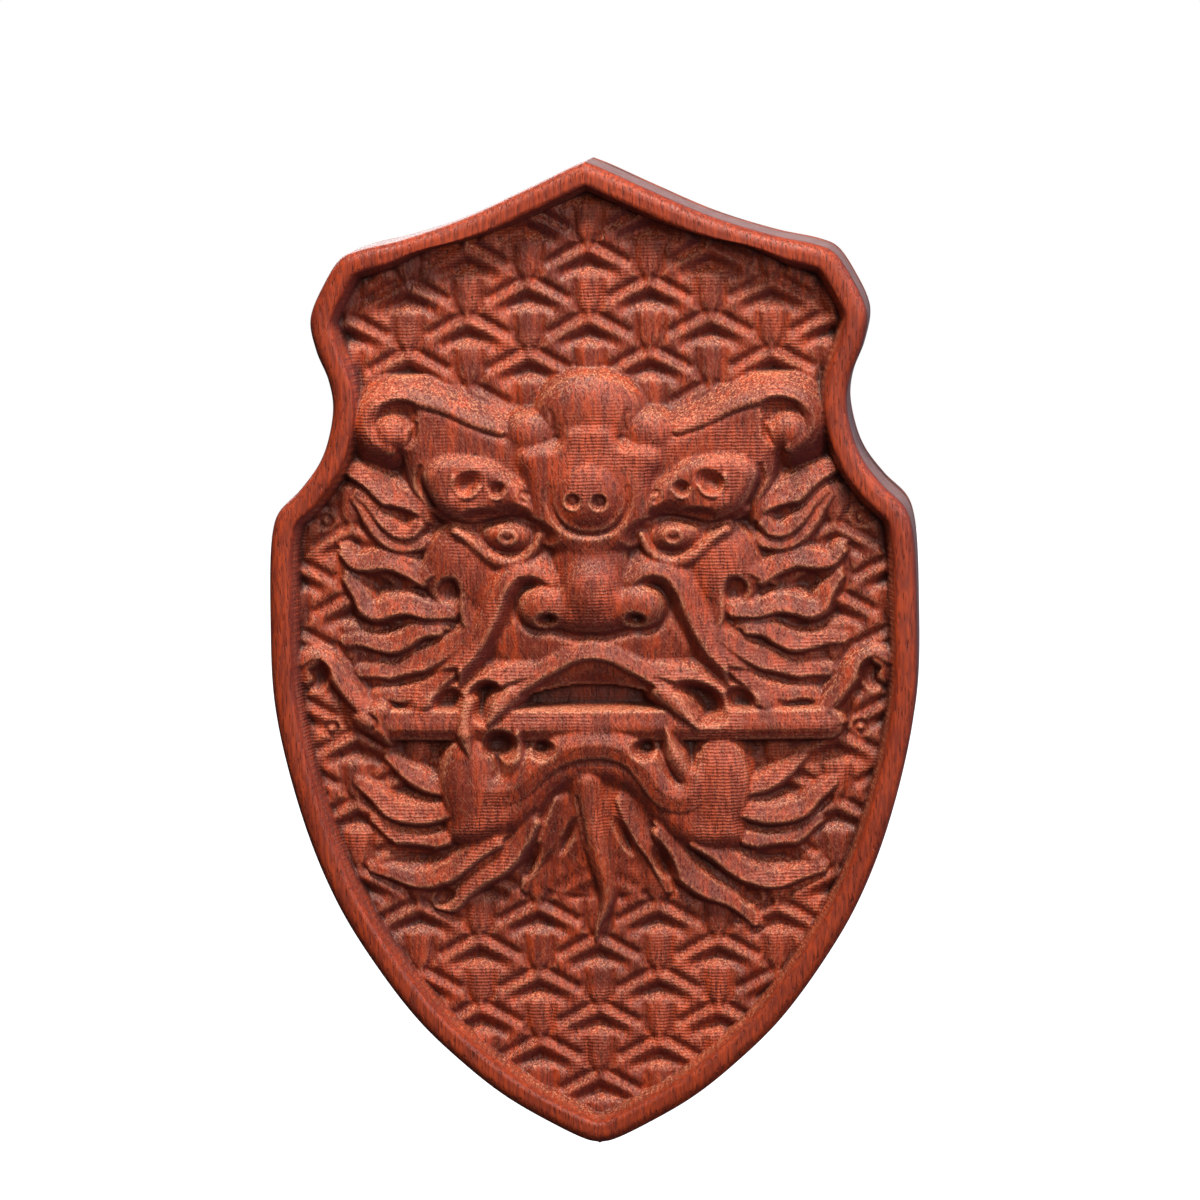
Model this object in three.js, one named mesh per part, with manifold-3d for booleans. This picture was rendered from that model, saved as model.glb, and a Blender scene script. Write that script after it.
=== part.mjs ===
// A shield-shaped wooden wall plaque. The front slab is carved with a guardian-beast mask that bites a
// sword, in a recess inside a raised rim. A plain backing board is screwed on behind it, and carries a
// strap hanger with a swinging ring and four felt pads.
// Millimetres, +Z up, +X to the viewer's right. The front faces -Y, the wall is the plane y = 0, and the
// origin is where the nail leaves the wall.
import * as THREE from "three";
import { mergeVertices } from "three/addons/utils/BufferGeometryUtils.js";
import Module from "manifold-3d";

const wasm = await Module();
wasm.setup();

// Overall sizes
const plaqueHeight = 96;
const plaqueWidth = 63;
const nailBelowApex = 15; // from the top point of the shield down to the nail

// Carved front slab
const frontThickness = 9; // at the crown of the rim
const sideDraft = 0.15; // the foot of the side wall stands out this far past its top
const rimWidth = 2.1;
const rimRoundOver = 1.1;
const recessDepth = 2.9; // from the crown of the rim to the ground
const wallRun = 0.8; // the slope between rim and ground, seen from the front
const carvingRise = 1.3; // how far the highest point of the mask stands out past the rim

// Backing board
const boardThickness = 4;
const boardChamfer = 0.6;

// Felt pads
const padRadius = 4;
const padChamfer = 0.5;
const hangerGap = 0.5; // the pads hold the hanger this far off the wall
const padAcross = 18;
const padUp = 31; // upper pair, above the middle of the plaque
const padDown = 27; // lower pair, below the middle

// Countersunk screws that hold the board to the slab
const joinCover = 2; // wood left between a screw's tip and the ground of the recess
const joinShankRadius = 1.15;
const joinHeadRadius = 2.3;
const joinHeadDepth = 1.3;
const joinHeadSunk = 0.2; // below the face of the board
const joinAcross = 20;
const joinUp = 14;
const joinDown = 9;

// Strap hanger
const strapThickness = 0.5; // one layer: the strap is folded double
const strapSideGap = 0.4; // from the strap to the bends of the ring
const strapEnd = 4; // from the lower screw to the end of the strap
const strapCorner = 2;
const hangCover = 1; // wood left between a hanger screw's tip and the front of the board
const hangShankRadius = 0.95;
const hangHeadRadius = 1.9;
const hangHeadHeight = 1;
const hangHeadGap = 0.85; // from the strap's eye to the upper screw's head
const hangScrewSpacing = 7;

// Hanging ring, bent from wire
const wireRadius = 0.6;
const ringRadius = 5.1; // to the middle of the wire
const ringLeg = 2.4;
const ringCorner = 0.9;

// Clearances
const holeClearance = 0.12; // between a screw and its hole
const wireClearance = 0.15; // between the ring's bar and the strap's eye
const driveWidth = 0.5; // arms of the cross in a screw's head
const driveDepth = 0.7;

// How finely the slab is divided
const edgeSteps = 84; // along half the outline
const middleColumns = 38; // across the recess
const roundSides = 16;

// The curve of half the shield's outline, from the apex to the tip, about the middle of the plaque.
const drawnWidth = 63;
const drawnHeight = 96;
const drawnEdge = [
  [0, 48],
  [1.4, 47.45],
  [6, 45.3],
  [12, 42.65],
  [18, 40.75],
  [22, 39.85],
  [23.7, 39.1],
  [25.45, 36.6],
  [26.9, 33.1],
  [26.4, 30],
  [25.3, 27.2],
  [24.9, 24.7],
  [25.4, 21.6],
  [26.3, 19.3],
  [28.2, 16.75],
  [30.4, 14.5],
  [31.1, 12.4],
  [31.5, 4],
  [31.2, -5],
  [28.7, -16],
  [25.6, -24],
  [22.1, -30],
  [17.8, -35.8],
  [13.6, -39.95],
  [9.6, -43.2],
  [5.4, -45.75],
  [1.3, -47.75],
  [0, -48],
];

// Where things stand, worked out from the sizes above.
const acrossScale = plaqueWidth / drawnWidth;
const upScale = plaqueHeight / drawnHeight;
const middleZ = nailBelowApex - plaqueHeight / 2;
const eyeRadius = wireRadius + wireClearance;
const eyeOuter = eyeRadius + strapThickness;
const boardBack = -(2 * eyeOuter + hangerGap);
const boardFront = boardBack - boardThickness;
const ringAxisY = boardBack + eyeOuter;
const ringAxisZ = wireRadius - ringRadius - ringLeg;
const strapBack = boardBack + 2 * strapThickness;
const strapWidth = 2 * (ringRadius - ringCorner - strapSideGap);
const upperHangScrew = eyeOuter + hangHeadGap + hangHeadRadius; // below the ring's axis
const lowerHangScrew = upperHangScrew + hangScrewSpacing;
const strapLength = lowerHangScrew + strapEnd;
const hangScrewTip = boardFront + hangCover;
const joinScrewTip = boardFront - (frontThickness - recessDepth - joinCover);

const wood = new THREE.MeshStandardMaterial({ color: 0x9a4a2c, roughness: 0.55 });
const boardWood = new THREE.MeshStandardMaterial({ color: 0x7d3a26, roughness: 0.65 });
const steel = new THREE.MeshStandardMaterial({ color: 0xb9b7b0, roughness: 0.35, metalness: 1 });
const brass = new THREE.MeshStandardMaterial({ color: 0xb08d4a, roughness: 0.35, metalness: 1 });
const felt = new THREE.MeshStandardMaterial({ color: 0x3b2a22, roughness: 1 });

// ---- joining and cutting ----

function asSolid(geometry) {
  const bare = geometry.index ? geometry.toNonIndexed() : geometry.clone();
  bare.deleteAttribute("normal");
  bare.deleteAttribute("uv");
  const merged = mergeVertices(bare, 1e-4);
  const corners = merged.index.array;
  const kept = [];
  for (let i = 0; i < corners.length; i += 3) {
    const [a, b, c] = corners.slice(i, i + 3);
    if (a !== b && b !== c && c !== a) kept.push(a, b, c);
  }
  const mesh = new wasm.Mesh({
    numProp: 3,
    vertProperties: merged.attributes.position.array,
    triVerts: new Uint32Array(kept),
  });
  return new wasm.Manifold(mesh);
}

function asGeometry(solid) {
  const mesh = solid.getMesh();
  const geometry = new THREE.BufferGeometry();
  geometry.setAttribute("position", new THREE.BufferAttribute(mesh.vertProperties, 3));
  geometry.setIndex(new THREE.BufferAttribute(mesh.triVerts, 1));
  return geometry;
}

function cutAway(geometry, cutters) {
  let solid = asSolid(geometry);
  for (const cutter of cutters) solid = solid.subtract(asSolid(cutter));
  return asGeometry(solid);
}

function piece(name, geometry, material) {
  const mesh = new THREE.Mesh(geometry, material);
  mesh.name = name;
  return mesh;
}

// ---- round pieces about an axis along Y ----

// Profile points are [radius, y], from the front end to the back end of the axis.
function turned(profile, x, z, sides = roundSides) {
  const points = profile.map(([radius, y]) => new THREE.Vector2(radius, y));
  return new THREE.LatheGeometry(points, sides).translate(x, 0, z);
}

function hole(radius, fromY, toY, x, z) {
  return turned([[0, fromY], [radius, fromY], [radius, toY], [0, toY]], x, z);
}

// ---- the outline ----

const edgeCurve = new THREE.CatmullRomCurve3(
  drawnEdge.map(([x, z]) => new THREE.Vector3(x * acrossScale, 0, z * upScale)),
  false,
  "centripetal",
);

// Points down the right-hand edge, moved inwards by inset.
function edgePoints(steps, inset) {
  const found = [];
  for (let i = 0; i <= steps; i++) {
    const place = edgeCurve.getPointAt(i / steps);
    const along = edgeCurve.getTangentAt(i / steps);
    const ends = i === 0 || i === steps;
    const inward = ends ? [0, i ? 1 : -1] : [along.z, -along.x];
    found.push([Math.max(place.x + inset * inward[0], 0), place.z + inset * inward[1]]);
  }
  return found;
}

// How far a point is from a line of [x, z] points.
function distanceToLine(x, z, line) {
  let nearest = Infinity;
  for (let i = 0; i + 1 < line.length; i++) {
    const [ax, az] = line[i];
    const [bx, bz] = line[i + 1];
    const share = ((x - ax) * (bx - ax) + (z - az) * (bz - az)) / ((bx - ax) ** 2 + (bz - az) ** 2);
    const t = Math.min(Math.max(share, 0), 1);
    nearest = Math.min(nearest, Math.hypot(x - ax - t * (bx - ax), z - az - t * (bz - az)));
  }
  return nearest;
}

// ---- the carving ----

// Mounds are [x, z, half width, half height, lift], and each is carved on both sides of the middle.
// A lift is a share of the full height from the ground to the tip of the nose.
const mounds = [
  [0, 7, 17, 18, 0.5],
  [0, 15.5, 5, 4.6, 0.95],
  [0, 23.4, 5.4, 4.4, 0.75],
  [6, 21.4, 3.4, 3.2, 0.7],
  [10.5, 16.6, 6.6, 3.6, 0.85],
  [8, 11.6, 3.4, 2.4, 0.8],
  [0, 6.2, 4.6, 4.2, 1],
  [5, 4.4, 3.2, 2.8, 0.88],
  [0, -0.4, 13, 6, 0.72],
  [13.4, 6, 3.8, 4.4, 0.72],
  [12.4, -13.6, 4.4, 4.8, 0.75],
  [0, -12, 13, 4.8, 0.66],
];

// Strands are a line of [x, z] points, a half width and a lift, again on both sides.
const strands = [
  { line: [[0, -6.7], [23, -6.7]], half: 2, lift: 0.85 },
  { line: [[11, 22.4], [16, 24.2], [20.4, 24], [21.6, 21.8], [19.6, 20.6]], half: 1.9, lift: 0.62 },
  { line: [[17, 14.5], [20, 15], [23, 17.4]], half: 1.6, lift: 0.55 },
  { line: [[16, 8], [20, 9], [23.6, 9.4]], half: 1.5, lift: 0.55 },
  { line: [[14, 3.6], [20, 3.8], [23.4, 6.8]], half: 1.5, lift: 0.55 },
  { line: [[13, 0.2], [18, 1.6], [23.6, 1.2]], half: 1.5, lift: 0.5 },
  { line: [[12.5, -1], [17, -2.2], [22, -1.8]], half: 1.5, lift: 0.5 },
  { line: [[23, -5.4], [25.4, -1.6], [27.6, -0.6], [28.6, -2]], half: 1.4, lift: 0.5 },
  { line: [[15, -12.6], [18, -12.4], [20.4, -10]], half: 1.6, lift: 0.5 },
  { line: [[14, -16.6], [19, -16.6], [23, -13.4]], half: 2, lift: 0.6 },
  { line: [[10, -18.6], [15, -22], [21.4, -21.6]], half: 1.7, lift: 0.5 },
  { line: [[7.4, -18.4], [10, -22], [14, -24.8]], half: 1.7, lift: 0.48 },
  { line: [[2.4, -15], [4.6, -19], [7, -23.2]], half: 1.5, lift: 0.5 },
  { line: [[0, -13], [0, -21], [0, -27.6]], half: 1.8, lift: 0.62 },
  { line: [[0, -0.6], [4, -1.6], [8.6, -4.4]], half: 1.4, lift: 0.85 },
];

// The mouth, a slot cut down between lip and sword.
const mouth = { halfAcross: 6.8, top: -2.9, bottom: -5.2 };

function dome(share) {
  return share < 1 ? 1 - share ** 3 : 0;
}

// Height above the ground, for a point of the slab.
function carvedHeight(x, z) {
  const drawnX = Math.abs(x) / acrossScale;
  const drawnZ = z / upScale;
  if (drawnX < mouth.halfAcross && drawnZ < mouth.top && drawnZ > mouth.bottom) return 0;
  const lifts = [
    ...mounds.map(([mx, mz, halfAcross, halfUp, lift]) => {
      return lift * dome(Math.hypot((drawnX - mx) / halfAcross, (drawnZ - mz) / halfUp));
    }),
    ...strands.map(({ line, half, lift }) => lift * dome(distanceToLine(drawnX, drawnZ, line) / half)),
  ];
  return (recessDepth + carvingRise) * Math.max(...lifts);
}

// Height of the slab over the backing board at a distance from the top of its side wall.
function slabHeight(x, z, inFromEdge) {
  if (inFromEdge < rimRoundOver) {
    const share = 1 - inFromEdge / rimRoundOver;
    return frontThickness - rimRoundOver * (1 - Math.sqrt(1 - share * share));
  }
  if (inFromEdge <= rimWidth) return frontThickness;
  const ground = frontThickness - recessDepth;
  const down = Math.min((inFromEdge - rimWidth) / wallRun, 1);
  const inside = ground + carvedHeight(x, z);
  return frontThickness + (inside - frontThickness) * down;
}

// ---- the carved slab: rows across the shield, one for each step down its edge ----

// Columns stand at set distances in from the edge over the rim, and are even across the recess.
function columnsOf(halfWidth, lean) {
  const rim = [0, rimRoundOver * 0.3, rimRoundOver, rimWidth, rimWidth + wallRun];
  const limit = (k) => (k ? halfWidth * (0.8 + 0.04 * k) : 0);
  const right = rim.map((inward, k) => halfWidth - Math.min(inward / lean, limit(k)));
  const last = right[right.length - 1];
  for (let k = 1; k <= middleColumns / 2; k++) right.push(last * (1 - (2 * k) / middleColumns));
  const left = right.slice(0, -1).map((x) => -x);
  return [...left, ...right.reverse()];
}

function slabRows() {
  const top = edgePoints(edgeSteps, sideDraft);
  return top.map(([halfWidth, z], i) => {
    const [beforeX, beforeZ] = top[Math.max(i - 1, 0)];
    const [afterX, afterZ] = top[Math.min(i + 1, edgeSteps)];
    const lean = Math.max(Math.abs(beforeZ - afterZ) / Math.hypot(beforeX - afterX, beforeZ - afterZ), 0.1);
    return columnsOf(halfWidth, lean).map((x) => {
      const height = slabHeight(x, z, distanceToLine(Math.abs(x), z, top));
      return [x, boardFront - height, z + middleZ];
    });
  });
}

function carvedSlab() {
  const rows = slabRows();
  const foot = edgePoints(edgeSteps, 0);
  const columns = rows[0].length;
  const corners = [];
  const quad = (a, b, c, d) => corners.push(a, b, c, a, c, d);
  for (let i = 0; i < edgeSteps; i++) {
    const above = rows[i];
    const below = rows[i + 1];
    for (let k = 0; k + 1 < columns; k++) quad(above[k], below[k], below[k + 1], above[k + 1]);
    const footAbove = [foot[i][0], boardFront, foot[i][1] + middleZ];
    const footBelow = [foot[i + 1][0], boardFront, foot[i + 1][1] + middleZ];
    const mirror = ([x, y, z]) => [-x, y, z];
    quad(above[columns - 1], below[columns - 1], footBelow, footAbove);
    quad(below[0], above[0], mirror(footAbove), mirror(footBelow));
    quad(footAbove, footBelow, mirror(footBelow), mirror(footAbove));
  }
  // The slab is one row thick at its apex and at its tip, so each is closed by a small triangle.
  for (const [row, edge, turn] of [[rows[0], foot[0], 1], [rows[edgeSteps], foot[edgeSteps], -1]]) {
    const heel = [edge[0], boardFront, edge[1] + middleZ];
    for (let k = 0; k + 1 < columns; k++) {
      corners.push(...(turn > 0 ? [row[k], row[k + 1], heel] : [row[k + 1], row[k], heel]));
    }
  }
  const geometry = new THREE.BufferGeometry();
  geometry.setAttribute("position", new THREE.Float32BufferAttribute(corners.flat(), 3));
  return geometry;
}

// ---- screws ----

// A cross-shaped recess, as two crossed bars that reach driveDepth into a head.
function driveCutters(headRadius, backY, x, z) {
  const long = headRadius * 1.1;
  const bar = (across, up) =>
    new THREE.BoxGeometry(across, 2 * driveDepth, up).translate(x, backY, z);
  return [bar(long, driveWidth), bar(driveWidth, long)];
}

const joinHeadBack = boardBack - joinHeadSunk;
const joinPlaces = [
  [joinAcross, joinUp],
  [joinAcross, -joinDown],
].flatMap(([x, z]) => [[-x * acrossScale, z * upScale + middleZ], [x * acrossScale, z * upScale + middleZ]]);

function joinScrew(x, z) {
  const body = turned(
    [
      [0, joinScrewTip],
      [joinShankRadius, joinScrewTip + 1.5 * joinShankRadius],
      [joinShankRadius, joinHeadBack - joinHeadDepth],
      [joinHeadRadius, joinHeadBack],
      [0, joinHeadBack],
    ],
    x,
    z,
  );
  return cutAway(body, driveCutters(joinHeadRadius, joinHeadBack, x, z));
}

// The countersunk hole in the board, one clearance wider than the screw all the way.
function joinHole(x, z) {
  const shank = joinShankRadius + holeClearance;
  const head = joinHeadRadius + holeClearance;
  return turned(
    [
      [0, boardFront - 1],
      [shank, boardFront - 1],
      [shank, joinHeadBack - joinHeadDepth],
      [head, joinHeadBack],
      [head, boardBack + 1],
      [0, boardBack + 1],
    ],
    x,
    z,
  );
}

function pilotHole(x, z) {
  return hole(joinShankRadius + holeClearance, joinScrewTip - holeClearance, boardFront + 1, x, z);
}

const hangPlaces = [upperHangScrew, lowerHangScrew].map((down) => ringAxisZ - down);

function hangScrew(z) {
  const back = strapBack + hangHeadHeight;
  const body = turned(
    [
      [0, hangScrewTip],
      [hangShankRadius, hangScrewTip + 1.5 * hangShankRadius],
      [hangShankRadius, strapBack],
      [hangHeadRadius, strapBack],
      [hangHeadRadius, strapBack + hangHeadHeight * 0.5],
      [hangHeadRadius * 0.7, back],
      [0, back],
    ],
    0,
    z,
  );
  return cutAway(body, driveCutters(hangHeadRadius, back, 0, z));
}

// ---- backing board ----

function backingBoard() {
  const right = edgePoints(edgeSteps, 0);
  const left = right.slice(1, -1).reverse().map(([x, z]) => [-x, z]);
  const outline = new THREE.Shape([...right, ...left].map(([x, z]) => new THREE.Vector2(x, z)));
  const slab = new THREE.ExtrudeGeometry(outline, {
    depth: boardThickness - boardChamfer,
    bevelEnabled: false,
    curveSegments: 1,
  });
  // The last step back to the wall is chamfered all round.
  const inner = edgePoints(edgeSteps, boardChamfer);
  const chamfered = chamferedBack(right, inner);
  slab.rotateX(Math.PI / 2).translate(0, boardBack - boardChamfer, middleZ);
  const whole = asSolid(slab).add(asSolid(chamfered));
  const holes = joinPlaces.map(([x, z]) => joinHole(x, z));
  const bottom = hangScrewTip - holeClearance;
  const pilots = hangPlaces.map((z) => hole(hangShankRadius + holeClearance, bottom, boardBack + 1, 0, z));
  return cutAway(asGeometry(whole), [...holes, ...pilots]);
}

function chamferedBack(outer, inner) {
  const corners = [];
  const quad = (a, b, c, d) => corners.push(a, b, c, a, c, d);
  const at = ([x, z], y) => [x, y, z + middleZ];
  const mirror = ([x, y, z]) => [-x, y, z];
  const front = boardBack - boardChamfer;
  for (let i = 0; i < edgeSteps; i++) {
    const [a, b] = [at(outer[i], front), at(outer[i + 1], front)];
    const [c, d] = [at(inner[i], boardBack), at(inner[i + 1], boardBack)];
    quad(a, b, d, c);
    quad(mirror(b), mirror(a), mirror(c), mirror(d));
    quad(c, d, mirror(d), mirror(c));
    quad(b, a, mirror(a), mirror(b));
  }
  const geometry = new THREE.BufferGeometry();
  geometry.setAttribute("position", new THREE.Float32BufferAttribute(corners.flat(), 3));
  return geometry;
}

// ---- hanger ----

// The strap's section across its width: two layers on the board, rolled round the ring's bar at the top.
function hangerStrap() {
  const section = new THREE.Shape();
  const lower = ringAxisZ - strapLength;
  const meet = Math.asin((strapBack - ringAxisY) / eyeOuter);
  section.moveTo(boardBack, lower);
  section.lineTo(strapBack, lower);
  section.absarc(ringAxisY, ringAxisZ, eyeOuter, -Math.PI / 2 + meet, Math.PI, false);
  section.closePath();
  const eye = new THREE.Path();
  eye.absarc(ringAxisY, ringAxisZ, eyeRadius, 0, 2 * Math.PI, true);
  section.holes.push(eye);
  const rolled = new THREE.ExtrudeGeometry(section, {
    depth: strapWidth,
    bevelEnabled: false,
    curveSegments: roundSides,
  });
  // The section is drawn in (y, z) and runs along x.
  const toPlace = new THREE.Matrix4().set(0, 0, 1, -strapWidth / 2, 1, 0, 0, 0, 0, 1, 0, 0, 0, 0, 0, 1);
  rolled.applyMatrix4(toPlace);
  const shaped = asSolid(rolled).intersect(asSolid(strapFace()));
  const clearance = hangShankRadius + holeClearance;
  const holes = hangPlaces.map((z) => hole(clearance, boardBack - 1, strapBack + 1, 0, z));
  return cutAway(asGeometry(shaped), holes);
}

// The strap seen from behind, with its lower corners rounded.
function strapFace() {
  const half = strapWidth / 2;
  const lower = ringAxisZ - strapLength;
  const upper = ringAxisZ + eyeOuter + 1;
  const face = new THREE.Shape();
  face.moveTo(half, upper);
  face.lineTo(-half, upper);
  face.lineTo(-half, lower + strapCorner);
  face.absarc(-half + strapCorner, lower + strapCorner, strapCorner, Math.PI, 1.5 * Math.PI, false);
  face.absarc(half - strapCorner, lower + strapCorner, strapCorner, 1.5 * Math.PI, 2 * Math.PI, false);
  face.closePath();
  const depth = 2 * eyeOuter + 2;
  const block = new THREE.ExtrudeGeometry(face, { depth, bevelEnabled: false, curveSegments: 4 });
  return block.rotateX(Math.PI / 2).translate(0, boardBack + depth - 1, 0);
}

// The middle line of the ring's wire: a bar through the strap's eye, two legs and a half round.
function ringPath() {
  const path = new THREE.Path();
  const bar = ringRadius - ringCorner;
  path.moveTo(-bar, 0);
  path.lineTo(bar, 0);
  path.absarc(bar, ringCorner, ringCorner, -Math.PI / 2, 0, false);
  path.absarc(0, ringLeg, ringRadius, 0, Math.PI, false);
  path.absarc(-bar, ringCorner, ringCorner, Math.PI, 1.5 * Math.PI, false);
  return path;
}

// A closed loop of wire: a ring of points round each step of the path.
function hangingRing() {
  const steps = 44;
  const sides = 8;
  const middle = ringPath().getSpacedPoints(steps).slice(0, steps);
  const rings = middle.map((here, i) => {
    const before = middle[(i + steps - 1) % steps];
    const after = middle[(i + 1) % steps];
    const along = after.clone().sub(before).normalize();
    return Array.from({ length: sides }, (_, k) => {
      const turn = (2 * Math.PI * (k + 0.5)) / sides;
      const outward = wireRadius * Math.cos(turn);
      return [
        here.x + outward * along.y,
        ringAxisY + wireRadius * Math.sin(turn),
        ringAxisZ + here.y - outward * along.x,
      ];
    });
  });
  const corners = [];
  for (let i = 0; i < steps; i++) {
    const next = rings[(i + 1) % steps];
    for (let k = 0; k < sides; k++) {
      const m = (k + 1) % sides;
      corners.push(rings[i][k], rings[i][m], next[m], rings[i][k], next[m], next[k]);
    }
  }
  const geometry = new THREE.BufferGeometry();
  geometry.setAttribute("position", new THREE.Float32BufferAttribute(corners.flat(), 3));
  return geometry;
}

// ---- felt pads ----

function feltPad(x, z) {
  return turned(
    [
      [0, boardBack],
      [padRadius, boardBack],
      [padRadius, -padChamfer],
      [padRadius - padChamfer, 0],
      [0, 0],
    ],
    x,
    z,
    20,
  );
}

// ---- the assembly ----

const plaque = new THREE.Group();

const frontSlab = cutAway(carvedSlab(), joinPlaces.map(([x, z]) => pilotHole(x, z)));
plaque.add(piece("carved_front", frontSlab, wood));
plaque.add(piece("backing_board", backingBoard(), boardWood));

const corner = ["upper_left", "upper_right", "lower_left", "lower_right"];
joinPlaces.forEach(([x, z], i) => plaque.add(piece("board_screw_" + corner[i], joinScrew(x, z), brass)));

plaque.add(piece("hanger_strap", hangerStrap(), steel));
plaque.add(piece("hanging_ring", hangingRing(), steel));
hangPlaces.forEach((z, i) => plaque.add(piece("hanger_screw_" + ["upper", "lower"][i], hangScrew(z), steel)));

const padPlaces = [padUp, -padDown].flatMap((up) =>
  [-padAcross, padAcross].map((x) => [x * acrossScale, up * upScale + middleZ]),
);
padPlaces.forEach(([x, z], i) => plaque.add(piece("felt_pad_" + corner[i], feltPad(x, z), felt)));

export default plaque;
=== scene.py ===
import math

import bmesh
import bpy
import numpy as np
from mathutils import Matrix, Vector


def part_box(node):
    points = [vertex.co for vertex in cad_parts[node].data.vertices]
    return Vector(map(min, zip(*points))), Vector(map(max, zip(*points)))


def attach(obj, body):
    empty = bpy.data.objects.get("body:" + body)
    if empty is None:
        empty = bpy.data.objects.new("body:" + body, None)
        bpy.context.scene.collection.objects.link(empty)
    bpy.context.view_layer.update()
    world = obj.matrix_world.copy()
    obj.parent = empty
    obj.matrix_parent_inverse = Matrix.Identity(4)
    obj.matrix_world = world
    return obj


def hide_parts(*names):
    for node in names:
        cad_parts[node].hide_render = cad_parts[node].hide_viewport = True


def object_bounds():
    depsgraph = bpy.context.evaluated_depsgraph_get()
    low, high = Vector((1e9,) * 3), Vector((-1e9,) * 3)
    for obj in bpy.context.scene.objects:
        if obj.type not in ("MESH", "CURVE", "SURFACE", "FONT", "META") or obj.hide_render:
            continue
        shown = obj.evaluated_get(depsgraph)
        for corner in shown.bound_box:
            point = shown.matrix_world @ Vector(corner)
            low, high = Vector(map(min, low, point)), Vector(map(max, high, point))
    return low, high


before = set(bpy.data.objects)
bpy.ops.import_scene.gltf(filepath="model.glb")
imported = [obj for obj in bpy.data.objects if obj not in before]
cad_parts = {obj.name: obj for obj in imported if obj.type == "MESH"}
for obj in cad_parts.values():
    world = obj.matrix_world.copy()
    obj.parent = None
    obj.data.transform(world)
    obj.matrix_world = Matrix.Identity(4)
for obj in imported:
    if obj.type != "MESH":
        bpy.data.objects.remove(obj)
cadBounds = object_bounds()
mm = 0.001


def linearColour(hexValue):
    # sRGB hex, such as "8a3f22", to the linear colour that shaders take
    parts = [int(hexValue[i:i + 2], 16) / 255 for i in (0, 2, 4)]
    return tuple(p / 12.92 if p <= 0.04045 else ((p + 0.055) / 1.055) ** 2.4 for p in parts) + (1.0,)


def perMetre(millimetres):
    # texture scale that gives a pattern this size
    return 1000 / millimetres


def addNode(tree, kind, settings=None, inputs=None, output=0):
    # a node with its settings and links, which hands on one of its own sockets; an input is a number,
    # a colour or the socket of another node
    made = tree.nodes.new(kind)
    for name, value in (settings or {}).items():
        setattr(made, name, value)
    for name, value in (inputs or {}).items():
        if isinstance(value, bpy.types.NodeSocket):
            tree.links.new(value, made.inputs[name])
        else:
            made.inputs[name].default_value = value
    return made.outputs[output] if made.outputs else None


def newMaterial(name):
    material = bpy.data.materials.new(name)
    material.use_nodes = True
    material.node_tree.nodes.clear()
    return material, material.node_tree


def finishMaterial(tree, shader):
    addNode(tree, "ShaderNodeOutputMaterial", inputs={"Surface": shader})


# a long lens, a little above the plaque and to its right
camera = {
    "frontY": -16,        # the plane that the camera's distances start from, mm
    "distance": 420,
    "right": 33,          # to the right of the middle of the shield
    "above": 58,
    "aimRight": 0.88,
    "aimAbove": 5.83,
    "roll": -0.87,        # degrees
    "viewAngle": 15.51,
    "sensor": 36,
}


def makeCamera():
    low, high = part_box("carved_front")
    middle = (low + high) / 2
    front = Vector((middle.x, camera["frontY"] * mm, middle.z))
    data = bpy.data.cameras.new("camera")
    data.sensor_width = camera["sensor"]
    data.lens = camera["sensor"] / 2 / math.tan(math.radians(camera["viewAngle"] / 2))
    data.clip_start = 0.01
    data.clip_end = 20
    made = bpy.data.objects.new("camera", data)
    bpy.context.scene.collection.objects.link(made)
    made.location = front + Vector((camera["right"], -camera["distance"], camera["above"])) * mm
    aim = front + Vector((camera["aimRight"], 0, camera["aimAbove"])) * mm
    turn = (aim - made.location).to_track_quat("-Z", "Y").to_matrix().to_4x4()
    turn = turn @ Matrix.Rotation(math.radians(camera["roll"]), 4, "Z")
    made.rotation_euler = turn.to_euler()
    bpy.context.scene.camera = made


makeCamera()
print("camera made")

# a white studio: one small key light from above, softer ones in front and behind
studio = {
    "floorDrop": 0.25,    # below the tip of the shield, m
    "floorReach": 3.0,
    "backdropRadius": 2.9,
    "skyTop": 0.42,
    "skyRight": 0.6,      # the sky is brighter to the right
    "skyBottom": 0.05,
    "aim": (0, -0.01, -0.033),
    "lights": {           # place, size across in m, power in W, colour
        "keyLight": ((0.0, -0.23, 0.39), 0.11, 4.0, "fff3e4"),
        "frontLight": ((0.26, -0.60, 0.18), 0.35, 1.9, "fff8f0"),
        "sideLight": ((0.42, -0.08, 0.20), 0.22, 0.9, "eef0ff"),
        "backLight": ((-0.22, 0.6, 0.30), 0.35, 2.4, "ffffff"),
    },
}


def areaLight(name, place, size, power, colour):
    data = bpy.data.lights.new(name, "AREA")
    data.shape = "DISK"
    data.size = size
    data.energy = power
    data.color = linearColour(colour)[:3]
    made = bpy.data.objects.new(name, data)
    bpy.context.scene.collection.objects.link(made)
    made.location = place
    made.rotation_euler = (Vector(studio["aim"]) - made.location).to_track_quat("-Z", "Y").to_euler()


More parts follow.
